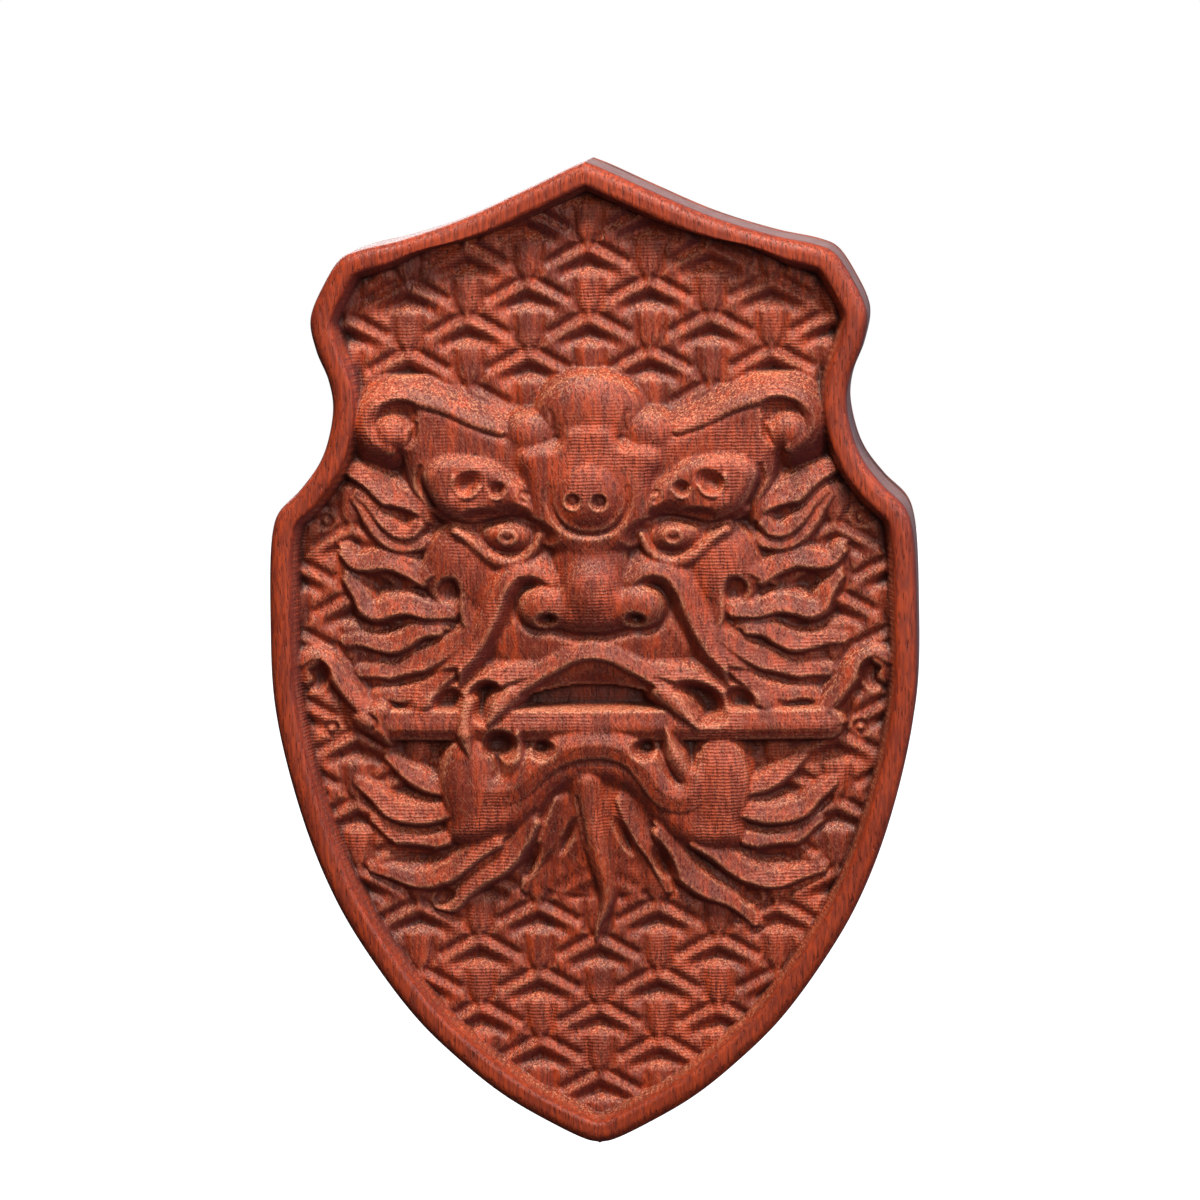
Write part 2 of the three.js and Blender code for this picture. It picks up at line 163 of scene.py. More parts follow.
def makeSky():
    world = bpy.data.worlds.new("softSky")
    world.use_nodes = True
    sky = world.node_tree
    way = addNode(sky, "ShaderNodeTexCoord", output="Generated")
    right = addNode(sky, "ShaderNodeSeparateXYZ", {}, {0: way}, "X")
    lean = addNode(sky, "ShaderNodeMath", {"operation": "MULTIPLY_ADD"},
                   {0: right, 1: studio["skyRight"], 2: right.node.outputs["Z"]})
    glow = addNode(sky, "ShaderNodeMapRange", {}, {
        "Value": lean, "From Min": -0.3, "From Max": 1.0,
        "To Min": studio["skyBottom"], "To Max": studio["skyTop"]})
    sky.links.new(glow, sky.nodes["Background"].inputs["Strength"])
    sky.nodes["Background"].inputs["Color"].default_value = linearColour("f4f4ff")
    bpy.context.scene.world = world
    bpy.context.scene.view_settings.view_transform = "Standard"


# Matt emulsion, rolled on: flat white with a faint mottle, lit so that it joins the backdrop.
def mattWhitePaint():
    material, tree = newMaterial("mattWhitePaint")
    place = addNode(tree, "ShaderNodeTexCoord", output="Object")
    mottle = addNode(tree, "ShaderNodeTexNoise", {}, {"Vector": place, "Scale": perMetre(40)})
    tone = addNode(tree, "ShaderNodeMix", {"data_type": "RGBA"},
                   {0: mottle, 6: linearColour("fbfbfb"), 7: linearColour("f7f7f7")}, 2)
    finishMaterial(tree, addNode(tree, "ShaderNodeBsdfPrincipled", {}, {
        "Base Color": tone, "Roughness": 0.9,
        "Emission Color": (1, 1, 1, 1), "Emission Strength": 1.0}))
    return material


# Lit cloth all round, seen by the camera only, so that it adds no light.
def litBackdrop():
    material, tree = newMaterial("litBackdrop")
    finishMaterial(tree, addNode(tree, "ShaderNodeEmission", {}, {"Color": (1, 1, 1, 1), "Strength": 1.0}))
    return material


def addStudioPiece(name, points, faces, material):
    mesh = bpy.data.meshes.new(name)
    mesh.from_pydata(points, [], faces)
    mesh.materials.append(material)
    made = bpy.data.objects.new(name, mesh)
    bpy.context.scene.collection.objects.link(made)
    return made


def makeStudio():
    low = cadBounds[0]
    reach, down = studio["floorReach"], low.z - studio["floorDrop"]
    corners = [(-reach, -reach, down), (reach, -reach, down), (reach, reach, down), (-reach, reach, down)]
    floor = addStudioPiece("floor", corners, [(0, 1, 2, 3)], mattWhitePaint())
    rings, sides, radius = 12, 32, studio["backdropRadius"]
    points = []
    for i in range(rings + 1):
        rise = math.pi * (i / rings - 0.5)
        for k in range(sides):
            turn = 2 * math.pi * k / sides
            points.append((radius * math.cos(rise) * math.cos(turn),
                           radius * math.cos(rise) * math.sin(turn),
                           radius * math.sin(rise)))
    faces = [(i * sides + k, i * sides + (k + 1) % sides, (i + 1) * sides + (k + 1) % sides,
              (i + 1) * sides + k) for i in range(rings) for k in range(sides)]
    backdrop = addStudioPiece("backdrop", points, faces, litBackdrop())
    for kind in ("diffuse", "glossy", "transmission", "shadow", "volume_scatter"):
        setattr(backdrop, "visible_" + kind, False)
    floor.visible_diffuse = floor.visible_glossy = False
    for name, (place, size, power, colour) in studio["lights"].items():
        areaLight(name, place, size, power, colour)


makeSky()
makeStudio()
print("studio made")

# low relief, in mm
carving = {
    "lift": 0.45,         # the carved design sits this far above the middle of the shield, mm
    "rimCrown": 2.9,      # heights are in mm above the ground of the recess
    "rimWidth": 2.1,
    "rimRound": 1.1,
    "wallRun": 0.8,
    "scalePitch": 6.76,   # from the middle of one armour scale to the next
    "scaleStart": 39.2,   # height of one of the middle column's scales
    "scaleRise": 0.55,
    "steep": 1.9,         # slope of the carved walls
    "toothPitch": 0.62,   # marks of the cutter round the wall
    "toothDepth": 0.10,
}


def curveThrough(points, closed=False, step=0.4):
    # a centripetal Catmull-Rom line through a few drawn points
    p = np.array(points, float)
    if closed:
        p = np.vstack([p[-1:], p, p[:2]])
    else:
        p = np.vstack([2 * p[:1] - p[1:2], p, 2 * p[-1:] - p[-2:-1]])
    out = []
    for a, b, c, d in zip(p[:-3], p[1:-2], p[2:-1], p[3:]):
        gaps = [max(np.hypot(*(q - r)), 1e-6) ** 0.5 for q, r in ((b, a), (c, b), (d, c))]
        t0, t1, t2, t3 = np.cumsum([0] + gaps)
        count = max(2, int(np.hypot(*(c - b)) / step) + 1)
        t = np.linspace(t1, t2, count, endpoint=False)[:, None]
        ab = (a * (t1 - t) + b * (t - t0)) / (t1 - t0)
        bc = (b * (t2 - t) + c * (t - t1)) / (t2 - t1)
        cd = (c * (t3 - t) + d * (t - t2)) / (t3 - t2)
        abc = (ab * (t2 - t) + bc * (t - t0)) / (t2 - t0)
        bcd = (bc * (t3 - t) + cd * (t - t1)) / (t3 - t1)
        out.append((abc * (t2 - t) + bcd * (t - t1)) / (t2 - t1))
    return np.vstack(out + [p[-2:-1]])


def nearby(field, low, high):
    # the places of the field inside a box
    x, z = field["x"], field["z"]
    return np.nonzero((x > low[0]) & (x < high[0]) & (z > low[1]) & (z < high[1]))


def toLine(field, line, reach):
    # distance, side and share of the length for the places near a line
    spot = nearby(field, line.min(0) - reach, line.max(0) + reach)
    if not len(spot[0]):
        return spot, None, None, None
    px, pz = field["x"][spot], field["z"][spot]
    best = np.full(px.shape, 1e9)
    side = np.zeros(px.shape)
    share = np.zeros(px.shape)
    lengths = np.hypot(*np.diff(line, axis=0).T)
    total, run = lengths.sum(), 0.0
    for (ax, az), (bx, bz), size in zip(line[:-1], line[1:], lengths):
        if size < 1e-9:
            continue
        ux, uz = (bx - ax) / size, (bz - az) / size
        along = np.clip((px - ax) * ux + (pz - az) * uz, 0, size)
        dx, dz = px - ax - along * ux, pz - az - along * uz
        d2 = dx * dx + dz * dz
        closer = d2 < best
        best = np.where(closer, d2, best)
        side = np.where(closer, ux * dz - uz * dx, side)
        share = np.where(closer, (run + along) / total, share)
        run += size
    return spot, np.sqrt(best), side, share


def bothSides(points, mirror):
    # the drawn points and which hand they are, then the same for the other hand
    yield np.array(points, float), 1
    if mirror:
        yield np.array(points, float) * (-1, 1), -1


def between(ends, share):
    # a value given at the start and the end, or at the start, middle and end
    if np.isscalar(ends):
        return ends
    return np.interp(share, np.linspace(0, 1, len(ends)), ends)


def raiseTo(field, spot, h, soft=0.3):
    # the higher of the two, with a small fillet where they meet
    old = field["h"][spot]
    field["h"][spot] = np.maximum(old, h) + np.maximum(soft - np.abs(old - h), 0) ** 2 / (4 * soft)


def strand(field, points, wide, high, fall=0.5, power=2.0, mirror=True, steep=None, soft=0.15):
    # a rounded strip: high at its middle line, lower by fall at its edges, then steep walls
    steep = steep or carving["steep"]
    for line, _ in bothSides(points, mirror):
        line = curveThrough(line)
        reach = np.max(wide) + np.max(high) / steep
        spot, d, _, share = toLine(field, line, reach)
        if d is None:
            continue
        w = between(wide, share)
        top = between(high, share)
        h = top - fall * np.minimum(d / w, 1) ** power - steep * np.maximum(d - w, 0)
        raiseTo(field, spot, h, soft)


def crest(field, points, wide, high, slope=0.5, under=0.35, mirror=True, steep=None, flip=False,
          soft=0.1, shed=1.1, slopeUnder=0.25):
    # a sharp edged lock: a long slope on the upper side of the line, a short steep face under it
    steep = steep or carving["steep"]
    for line, hand in bothSides(points, mirror):
        line = curveThrough(line)
        reach = np.max(wide) + np.max(high) / (slope + shed)
        spot, d, side, share = toLine(field, line, reach)
        if d is None:
            continue
        up = side * hand * (-1 if flip else 1) > 0
        w = between(wide, share)
        top = between(high, share)
        longSide = top - slope * w * np.minimum(d / w, 1) ** 0.65 - shed * np.maximum(d - w, 0)
        shortSide = top - slopeUnder * d - steep * np.maximum(d - under, 0)
        h = np.where(up, longSide, shortSide) - 0.12 * np.exp(-(d / 0.14) ** 2)
        raiseTo(field, spot, h, soft)


def groove(field, points, wide, deep, mirror=True, closed=False, power=1.5):
    # a cut taken out of whatever is there
    for line, _ in bothSides(points, mirror):
        line = curveThrough(line, closed)
        spot, d, _, share = toLine(field, line, np.max(wide))
        if d is None:
            continue
        w = between(wide, share)
        cut = between(deep, share) * (1 - np.minimum(d / w, 1) ** power)
        field["h"][spot] -= cut


def bead(field, points, wide, deep, mirror=True, closed=False, power=2.0):
    # a raised line, the opposite of a groove
    groove(field, points, wide, -deep, mirror, closed, power)


def ovals(field, centre, radii, margin, mirror, tilt):
    # the places in and round an oval, with the distance from its middle in shares of its radius
    acrossRadius, upRadius = radii
    reach = max(radii) + margin
    for hand in (1, -1)[:2 if mirror else 1]:
        cx, cz = centre[0] * hand, centre[1]
        spot = nearby(field, (cx - reach, cz - reach), (cx + reach, cz + reach))
        px, pz = field["x"][spot] - cx, field["z"][spot] - cz
        c, s = math.cos(math.radians(tilt * hand)), math.sin(math.radians(tilt * hand))
        u, v = (px * c + pz * s) / acrossRadius, (pz * c - px * s) / upRadius
        yield spot, np.sqrt(u * u + v * v)


def mound(field, centre, radii, high, power=2.0, base=0.0, mirror=True, tilt=0.0, steep=None, soft=0.4):
    # an oval hill: a low power is a cone, a high one a flat top
    steep = steep or carving["steep"]
    for spot, r in ovals(field, centre, radii, 1.5, mirror, tilt):
        h = base + (high - base) * (1 - np.minimum(r, 1) ** power)
        h = h - steep * np.maximum(r - 1, 0) * min(radii)
        raiseTo(field, spot, h, soft)


def pit(field, centre, radii, floor, bowl=0.4, mirror=True, tilt=0.0, steep=None):
    # an oval hollow cut down to its floor
    steep = steep or carving["steep"]
    for spot, r in ovals(field, centre, radii, 2, mirror, tilt):
        h = floor + bowl * np.minimum(r, 1) ** 2 + steep * np.maximum(r - 1, 0) * min(radii)
        field["h"][spot] = np.minimum(field["h"][spot], h)


def insideOf(line, px, pz):
    # which places a closed line goes round
    inside = np.zeros(px.shape, bool)
    for (ax, az), (bx, bz) in zip(line, np.roll(line, -1, axis=0)):
        if az == bz:
            continue
        crosses = ((az > pz) != (bz > pz)) & (px < (bx - ax) * (pz - az) / (bz - az) + ax)
        inside ^= crosses
    return inside


def plate(field, outline, high, run=0.8, edge=0.6, mirror=False, steep=None, soft=0.3):
    # a closed shape that stands up with rounded shoulders
    steep = steep or carving["steep"]
    for drawn, _ in bothSides(outline, mirror):
        line = curveThrough(drawn, closed=True)
        spot, d, _, _ = toLine(field, line, 1.6)
        if d is None:
            continue
        px, pz = field["x"][spot], field["z"][spot]
        inside = insideOf(line, px, pz)
        t = np.minimum(d / run, 1)
        shoulder = high - edge * (1 - t) ** 2
        h = np.where(inside, shoulder, high - edge - steep * d)
        raiseTo(field, spot, h, soft)


def toSegment(px, pz, start, end):
    # distance to a straight line and the share of its length
    wayX, wayZ = end[0] - start[0], end[1] - start[1]
    share = np.clip(((px - start[0]) * wayX + (pz - start[1]) * wayZ) / (wayX ** 2 + wayZ ** 2), 0, 1)
    return np.hypot(px - start[0] - share * wayX, pz - start[1] - share * wayZ), share


def armourScales(field):
    # three armed scales on a triangular lattice: each cut has its two ends, its width and its depth
    # at either end, beside the stem, over the arms and in the deep hollow under the fork
    pitch, rise = carving["scalePitch"], carving["scaleRise"]
    across = pitch * math.sqrt(3) / 2
    cuts = [((1.35, 3.4), (1.2, 1.3), 0.42, 0.30, 0.45),
            ((1.2, 1.3), (0.75, 0.35), 0.42, 0.45, 0.45),
            ((0.75, 0.35), (3.75, -1.35), 0.52, 0.55, 0.45),
            ((0, -1.55), (2.35, -2.5), 0.65, 0.9, 0.45)]
    field["h"] = np.full(field["x"].shape, float(rise))
    for column in range(-6, 7):
        cx = column * across
        start = carving["scaleStart"] - (pitch / 2 if column % 2 else 0)
        for row in range(-3, 15):
            cz = start - row * pitch
            spot = nearby(field, (cx - 5.6, cz - 5.0), (cx + 5.6, cz + 5.0))
            if not len(spot[0]):
                continue
            px, pz = np.abs(field["x"][spot] - cx), field["z"][spot] - cz
            cut = np.zeros(px.shape)
            for first, last, wide, deepFirst, deepLast in cuts:
                d, share = toSegment(px, pz, first, last)
                deep = deepFirst + (deepLast - deepFirst) * share
                cut = np.maximum(cut, deep * np.exp(-(d / wide) ** 2))
            cut += 0.15 * np.exp(-(px / 1.6) ** 2 - ((pz + 2.0) / 0.8) ** 2)
            field["h"][spot] -= cut


def lipRoof(field):
    # the roof of the mouth falls back under the upper lip, down to the dark slot
    x, z = np.abs(field["x"]), field["z"]
    line = curveThrough([(0, 0.0), (1.9, -0.35), (3.2, -0.95), (4.8, -1.75), (6.7, -2.95), (7.6, -3.6)])
    below = np.interp(x, line[:, 0], line[:, 1]) - 0.25 - z
    inside = (x < 7.5) & (below > 0) & (z > -5.6)
    roof = 2.9 - 0.62 * below
    slotTop = -3.05 - 1.35 * (x / 7) ** 2
    roof = np.where(z < slotTop, np.minimum(roof, 0.1 + np.maximum(x - 6.3, 0) * 2), roof)
    field["h"] = np.where(inside, np.minimum(field["h"], roof), field["h"])


# The beast's mask with its sword. Points are (across, up) from the middle of the shield, in mm, and
# most are cut on both hands. Lists of wides and highs run from the first point to the last.
def carveMasses(f):
    # broad masses under everything
    mound(f, (0, 5), (15.5, 20), 1.6, 3.5, mirror=False)
    mound(f, (0, -13), (13, 9), 1.5, 3.0, mirror=False)


def carveHorns(f):
    # forehead with the horns laid along its top
    plate(f, [(0, 21), (4, 21.5), (8, 21.6), (11, 22.7), (14, 24.2), (16.5, 24.9), (19, 25.1), (21, 24.3),
              (21.9, 22.6), (21.2, 20.9), (19.6, 20.2), (18.2, 19.4), (17.6, 17.6), (17, 15.6), (14, 13),
              (8, 12), (0, 12)], 2.3, 1.5, 0.9, mirror=True)
    crest(f, [(8.6, 21.9), (11, 22.7), (14, 24.1), (16, 24.7), (18, 25.1), (20, 24.8), (21.5, 23.6),
              (21.8, 22.2), (21, 20.7), (19.5, 19.9)], (0.5, 0.7, 0.5), (2.4, 2.7, 2.5), 0.9, 0.6)
    pit(f, (18.9, 23.0), (2.2, 1.4), 1.35, 0.5, tilt=-20)
    mound(f, (19.2, 21.5), (2.05, 1.9), 2.75, 2.4, 1.6)
    strand(f, [(20.6, 24.3), (21.3, 23.2), (21.3, 22), (20.4, 20.7), (19.4, 20.1)], 0.6, 2.5, 0.3)
    groove(f, [(16.9, 22.4), (17.0, 21.3), (17.6, 20.3)], (0.5, 0.5, 0.3), (0.5, 0.7, 0.3))


def carveCrown(f):
    # the crown between the horns
    mound(f, (0, 23.3), (4.8, 3.7), 2.95, 2.6, 1.7, mirror=False, soft=0.2)
    mound(f, (5.7, 21.2), (2.6, 2.2), 2.7, 2.4, 1.7, soft=0.2)
    groove(f, [(3.7, 23.6), (3.4, 22.6), (3.4, 21.8)], 0.35, 0.25)


def carveCloudPlate(f):
    # cloud plate behind the boss
    plate(f, [(0, 22.7), (1.7, 22.6), (2.6, 22.0), (3.0, 20.9), (4.2, 20.6), (5.6, 20.5), (6.9, 19.9),
              (7.1, 18.6), (6.4, 17.3), (6.1, 15), (6.0, 13), (4.9, 11.2), (3, 10.2), (0, 10), (-3, 10.2),
              (-4.9, 11.2), (-6.0, 13), (-6.1, 15), (-6.4, 17.3), (-7.1, 18.6), (-6.9, 19.9),
              (-5.6, 20.5), (-4.2, 20.6), (-3.0, 20.9), (-2.6, 22.0), (-1.7, 22.6)], 3.25, 1.5, 0.95)
    groove(f, [(2.9, 20.9), (3.3, 20.2), (4.2, 19.6)], (0.35, 0.4, 0.3), (0.35, 0.25, 0.0))


def carveBrow(f):
    # heavy brows with two small bosses each
    plate(f, [(4.9, 13.2), (6.5, 13.9), (8, 14.1), (10, 13.5), (12, 13.3), (14, 14), (15.4, 15.6),
              (16, 17.8), (14.9, 19), (13, 19.3), (11, 19.1), (9.4, 18.7), (7.6, 17.5), (6.2, 16.3),
              (5.4, 15)], 3.35, 1.3, 0.75, mirror=True)
    pit(f, (8.9, 16.1), (0.5, 0.42), 2.5, 0.3, tilt=-20, steep=1.1)
    bead(f, [(8.1, 16.0), (8.6, 15.4), (9.3, 15.4), (9.7, 16.1)], 0.3, 0.25)
    pit(f, (11.8, 16.7), (0.85, 0.55), 2.45, 0.3, tilt=-35, steep=0.9)
    bead(f, [(10.6, 16.4), (11.2, 15.6), (12.2, 15.5), (13.1, 16.4), (13.1, 17.4)], 0.33, 0.28)
    groove(f, [(6.0, 15.6), (6.5, 15.9), (6.7, 15.3), (6.3, 14.9)], 0.28, 0.3)
    groove(f, [(16.4, 18.2), (16.5, 17), (15.9, 15.6), (15.2, 14.4)], (0.4, 0.6, 0.5), (0.3, 0.8, 0.7))


def carveBoss(f):
    # boss on the forehead, with its ring
    mound(f, (0, 15.2), (5.35, 5.2), 3.35, 6.0, 2.8, mirror=False)
    groove(f, [(-3.75, 16.2), (-3.6, 14.2), (-2.6, 12.6), (-1.2, 11.85), (0, 11.7), (1.2, 11.85),
               (2.6, 12.6), (3.6, 14.2), (3.75, 16.2)], 0.4, (0.15, 0.55, 0.6, 0.55, 0.15), mirror=False)
    mound(f, (0, 15.55), (3.6, 3.65), 4.05, 2.8, 3.0, mirror=False, soft=0.1)
    for cx, cz in ((-1.6, 15.0), (1.0, 14.9)):
        ring = [(cx + 0.72 * math.cos(a), cz + 0.72 * math.sin(a)) for a in np.arange(0, 2 * math.pi, 0.7)]
        pit(f, (cx, cz), (0.6, 0.6), 3.2, 0.2, mirror=False)
        bead(f, ring, 0.26, 0.16, mirror=False, closed=True)
        mound(f, (cx, cz), (0.25, 0.25), 3.45, 2, 3.2, mirror=False)


def carveEyes(f):
    # eyes in their hollows, with a lid under each
    pit(f, (8.5, 11.5), (4.4, 2.2), 1.5, 0.7, tilt=8, steep=1.6)
    mound(f, (8.0, 11.5), (2.5, 1.45), 2.95, 2.0, 1.9, tilt=6)
    iris = [(8.0 + 0.85 * math.cos(a), 11.5 + 0.75 * math.sin(a)) for a in np.arange(0, 2 * math.pi, 0.8)]
    bead(f, iris, 0.28, 0.18, closed=True)
    groove(f, [(7.7, 11.4), (8.0, 11.2), (8.3, 11.4)], 0.35, 0.3)
    strand(f, [(4.9, 11.6), (5.6, 10.2), (6.7, 9.2), (8.2, 8.9), (10, 9.6), (11.8, 11.2), (13, 12)],
           (0.35, 0.6, 0.4), 2.6, 0.35)
    groove(f, [(5.4, 13.0), (7.5, 13.4), (9.5, 12.9), (11.5, 12.6), (13.6, 13.1)], (0.3, 0.5, 0.3),
           (0.3, 0.5, 0.2))


def carveCheeks(f):
    # round cheeks with a curl at the ear
    mound(f, (12.3, 8.3), (4.0, 4.6), 2.35, 2.5, 1.3)
    pit(f, (13.9, 6.0), (1.0, 1.05), 0.9, 0.3)
    crest(f, [(16.6, 7.2), (15.4, 8.0), (14.1, 8.1), (12.9, 7.5), (12.3, 6.2), (12.4, 4.4), (12.2, 3)],
          0.9, (1.9, 2.3, 2.2), 0.5, 0.3, flip=True)


def carveNose(f):
    # the muzzle and the nose with its two nostrils
    mound(f, (0, 2), (9.6, 5.4), 2.35, 3, 1.5, mirror=False, soft=0.8)
    mound(f, (0, 9.0), (3.4, 3.6), 3.2, 2.2, 2.2, mirror=False, soft=0.8)
    mound(f, (4.3, 4.7), (2.9, 2.3), 3.45, 3.0, 2.2, soft=0.5, tilt=-10)
    mound(f, (0, 4.6), (4.6, 2.6), 3.5, 3.0, 2.3, mirror=False, soft=0.6)
    mound(f, (0, 6.4), (2.9, 3.1), 4.15, 2.6, 2.6, mirror=False, soft=0.9)
    groove(f, [(2.6, 7.6), (3.1, 6.5), (3.3, 5.6)], (0.3, 0.5, 0.3), (0.05, 0.18, 0.05))
    pit(f, (4.3, 3.35), (0.5, 0.34), 1.7, 0.3, tilt=-8, steep=2.6)
    groove(f, [(0, 1.6), (2, 1.8), (4, 2.3), (5.6, 2.3), (7, 3.2), (7.3, 4.6)], (0.7, 0.6, 0.5),
           (0.45, 0.4, 0.25))


def carveSnoutFold(f):
    # snout fold: a sharp ridge outside a sinking trough
    groove(f, [(5.9, 7.0), (7.0, 6.6), (7.9, 5), (8.8, 3), (10.0, 1.0), (11.3, -1.2)], (0.7, 1.0, 0.8),
           (0.75, 0.45, 0.1))
    pit(f, (6.9, 6.7), (0.4, 0.3), 1.2, 0.3, tilt=-30, steep=1.6)
    crest(f, [(3.9, 7.0), (4.7, 7.6), (5.8, 8.0), (7.3, 7.7), (8.5, 6.2), (9.4, 3.9), (10.3, 2),
              (11.4, 0.2), (12.7, -1.2), (13.6, -2.3), (15.0, -3.9), (16.6, -5.1)], (0.5, 0.9, 1.1, 0.9),
          (3.0, 3.35, 3.1, 2.8, 2.3), 0.6, 0.12, soft=0.3, shed=0.8, steep=1.0)


def carveUpperLip(f):
    # the upper lip in two folds, and the roof of the mouth behind it
    crest(f, [(0, 0.0), (1.9, -0.4), (3.2, -1.1), (4.8, -1.9), (6.7, -3.1), (7.6, -3.7)], (1.2, 1.0),
          (3.1, 3.0, 2.8), 0.5, 0.25)
    crest(f, [(4.5, -1.5), (7, -2), (9, -2.7), (11, -3.8), (12.8, -5.1), (13.6, -5.8)], (0.8, 1.3, 0.9),
          (2.7, 2.9, 2.4), 0.55, 0.35)
    pit(f, (14.2, -4.7), (0.8, 1.0), 0.4, 0.3, tilt=35)
    lipRoof(f)


def carveChin(f):
    # the chin plate with a block of cheek at either side
    mound(f, (0, -9.5), (9, 2.0), 1.7, 3, 1.2, mirror=False)
    plate(f, [(9.9, -9.0), (12, -8.8), (14.3, -9.3), (14.8, -12), (14.6, -15.6), (14.3, -18.4),
              (11.6, -19.6), (8.8, -19.2), (6.6, -17.9), (5.0, -16.0), (3.2, -14.0), (0, -12.9),
              (-3.2, -14.0), (-5.0, -15.8), (-6.8, -17.2), (-9.4, -18.3), (-12, -18.9), (-14.3, -18.2),
              (-14.7, -14), (-14.2, -11.2), (-10.6, -11.0), (-8.6, -12.2), (-6, -10.8), (-3, -9.2),
              (0, -8.8), (3, -9.2), (5.4, -10.8), (7.2, -13), (9.4, -12.6)], 2.5, 2.2, 1.35, soft=0.4)
    mound(f, (12.2, -12.6), (2.6, 4.4), 2.75, 3, 2.0, soft=0.6)


def carveMane(f):
    # mane: locks that sweep out and up from the cheeks
    mound(f, (17.5, 8), (5.2, 9.5), 0.55, 3, 0.2)
    mound(f, (17, -2), (6, 6), 0.55, 3, 0.2)
    crest(f, [(17.4, 13.6), (18.6, 14.3), (20, 15), (21.6, 16.5), (23.5, 17.8)], (1.6, 2.2, 0.8),
          (2.2, 1.9, 1.1), 0.45, 0.3)
    pit(f, (18.3, 13.1), (1.9, 0.75), 0.7, 0.3, tilt=22)
    crest(f, [(16.6, 12.6), (17.4, 11.7), (18.8, 11.7), (20.2, 12.8), (21.6, 14.6), (22.7, 15.6)],
          (0.7, 0.9, 0.4), (1.9, 1.8, 1.0), 0.5, 0.3)
    crest(f, [(16.5, 10.6), (18.4, 10.3), (20, 10.9), (21.5, 12.6), (22.4, 14.2), (23.1, 15.2)],
          (0.8, 1.0, 0.5), (1.6, 1.6, 0.9), 0.5, 0.3)
    crest(f, [(16.4, 7.0), (18.2, 8.1), (19.9, 8.7), (21.8, 8.5), (23.2, 8.7), (24.2, 9.8)],
          (1.2, 1.5, 0.7), (1.9, 1.9, 1.1), 0.5, 0.3)
    pit(f, (21.1, 6.5), (1.5, 0.95), -0.15, 0.3, tilt=10)
    crest(f, [(13.6, 3.9), (16, 3.8), (18, 4.3), (19.6, 4.1), (21, 3.7), (22.3, 4.3), (22.9, 5.6),
              (23.9, 7.3)], (0.9, 1.4, 1.3, 0.7), (2.1, 2.0, 1.8, 1.1), 0.5, 0.3)
    pit(f, (20.4, 2.2), (1.7, 0.6), 0.1, 0.3, tilt=-6)
    crest(f, [(15.0, 2.2), (16.6, 2.0), (18, 1.1), (19.5, 0.5), (21, 0.7), (22.6, 1.1), (24.2, 1.1)],
          (1.1, 1.3, 0.6), (2.0, 1.8, 1.0), 0.5, 0.3)
    crest(f, [(11.6, 2.2), (13.3, 0.7), (15, -0.5), (17, -1.5), (19, -2.2), (21, -2.0), (22.7, -2.0)],
          (0.8, 1.6, 0.7), (2.4, 1.9, 1.0), 0.5, 0.3)
    pit(f, (17.7, -2.9), (2.6, 0.55), 0.3, 0.3, tilt=-8)
    crest(f, [(12.7, -0.8), (14.4, -2.5), (16.4, -3.8), (18.6, -4.4), (20.4, -4.2), (22, -4.6)],
          (0.7, 1.0, 0.6), (2.2, 1.8, 1.0), 0.5, 0.3)


def carveRibbons(f):
    # ribbons that rise from the ends of the sword
    crest(f, [(22.4, -5.6), (23.5, -4.3), (24.6, -2.9), (25.5, -1.6), (26.6, -0.6), (27.9, -0.4),
              (29, -0.9)], (0.7, 0.9, 0.5), (1.8, 1.7, 1.2), 0.6, 0.5)
    pit(f, (27.1, -2.4), (0.9, 1.2), -0.2, 0.3)
    crest(f, [(27.4, -0.6), (28.3, -1.4), (28.1, -2.5)], 0.5, (1.2, 0.9), 0.5, 0.4)


def carveSideLocks(f):
    # lower side locks
    crest(f, [(15, -13.5), (16.6, -13.1), (18.4, -12), (20.2, -10.2)], (0.9, 1.2, 0.6), (1.8, 1.5, 1.0),
          0.5, 0.35)
    crest(f, [(14, -15.6), (17, -16.3), (20.2, -15.7), (21.5, -14.3), (23.2, -12.8)], (1.0, 1.4, 0.6),
          (2.0, 1.8, 1.0), 0.45, 0.35)
    crest(f, [(14.6, -18.4), (17, -18.9), (19.5, -18.3), (21.7, -16.4)], (0.8, 1.0, 0.5), (1.7, 1.5, 0.9),
          0.45, 0.35)
    pit(f, (18, -20.0), (2.2, 0.7), -0.1, 0.3, tilt=6)


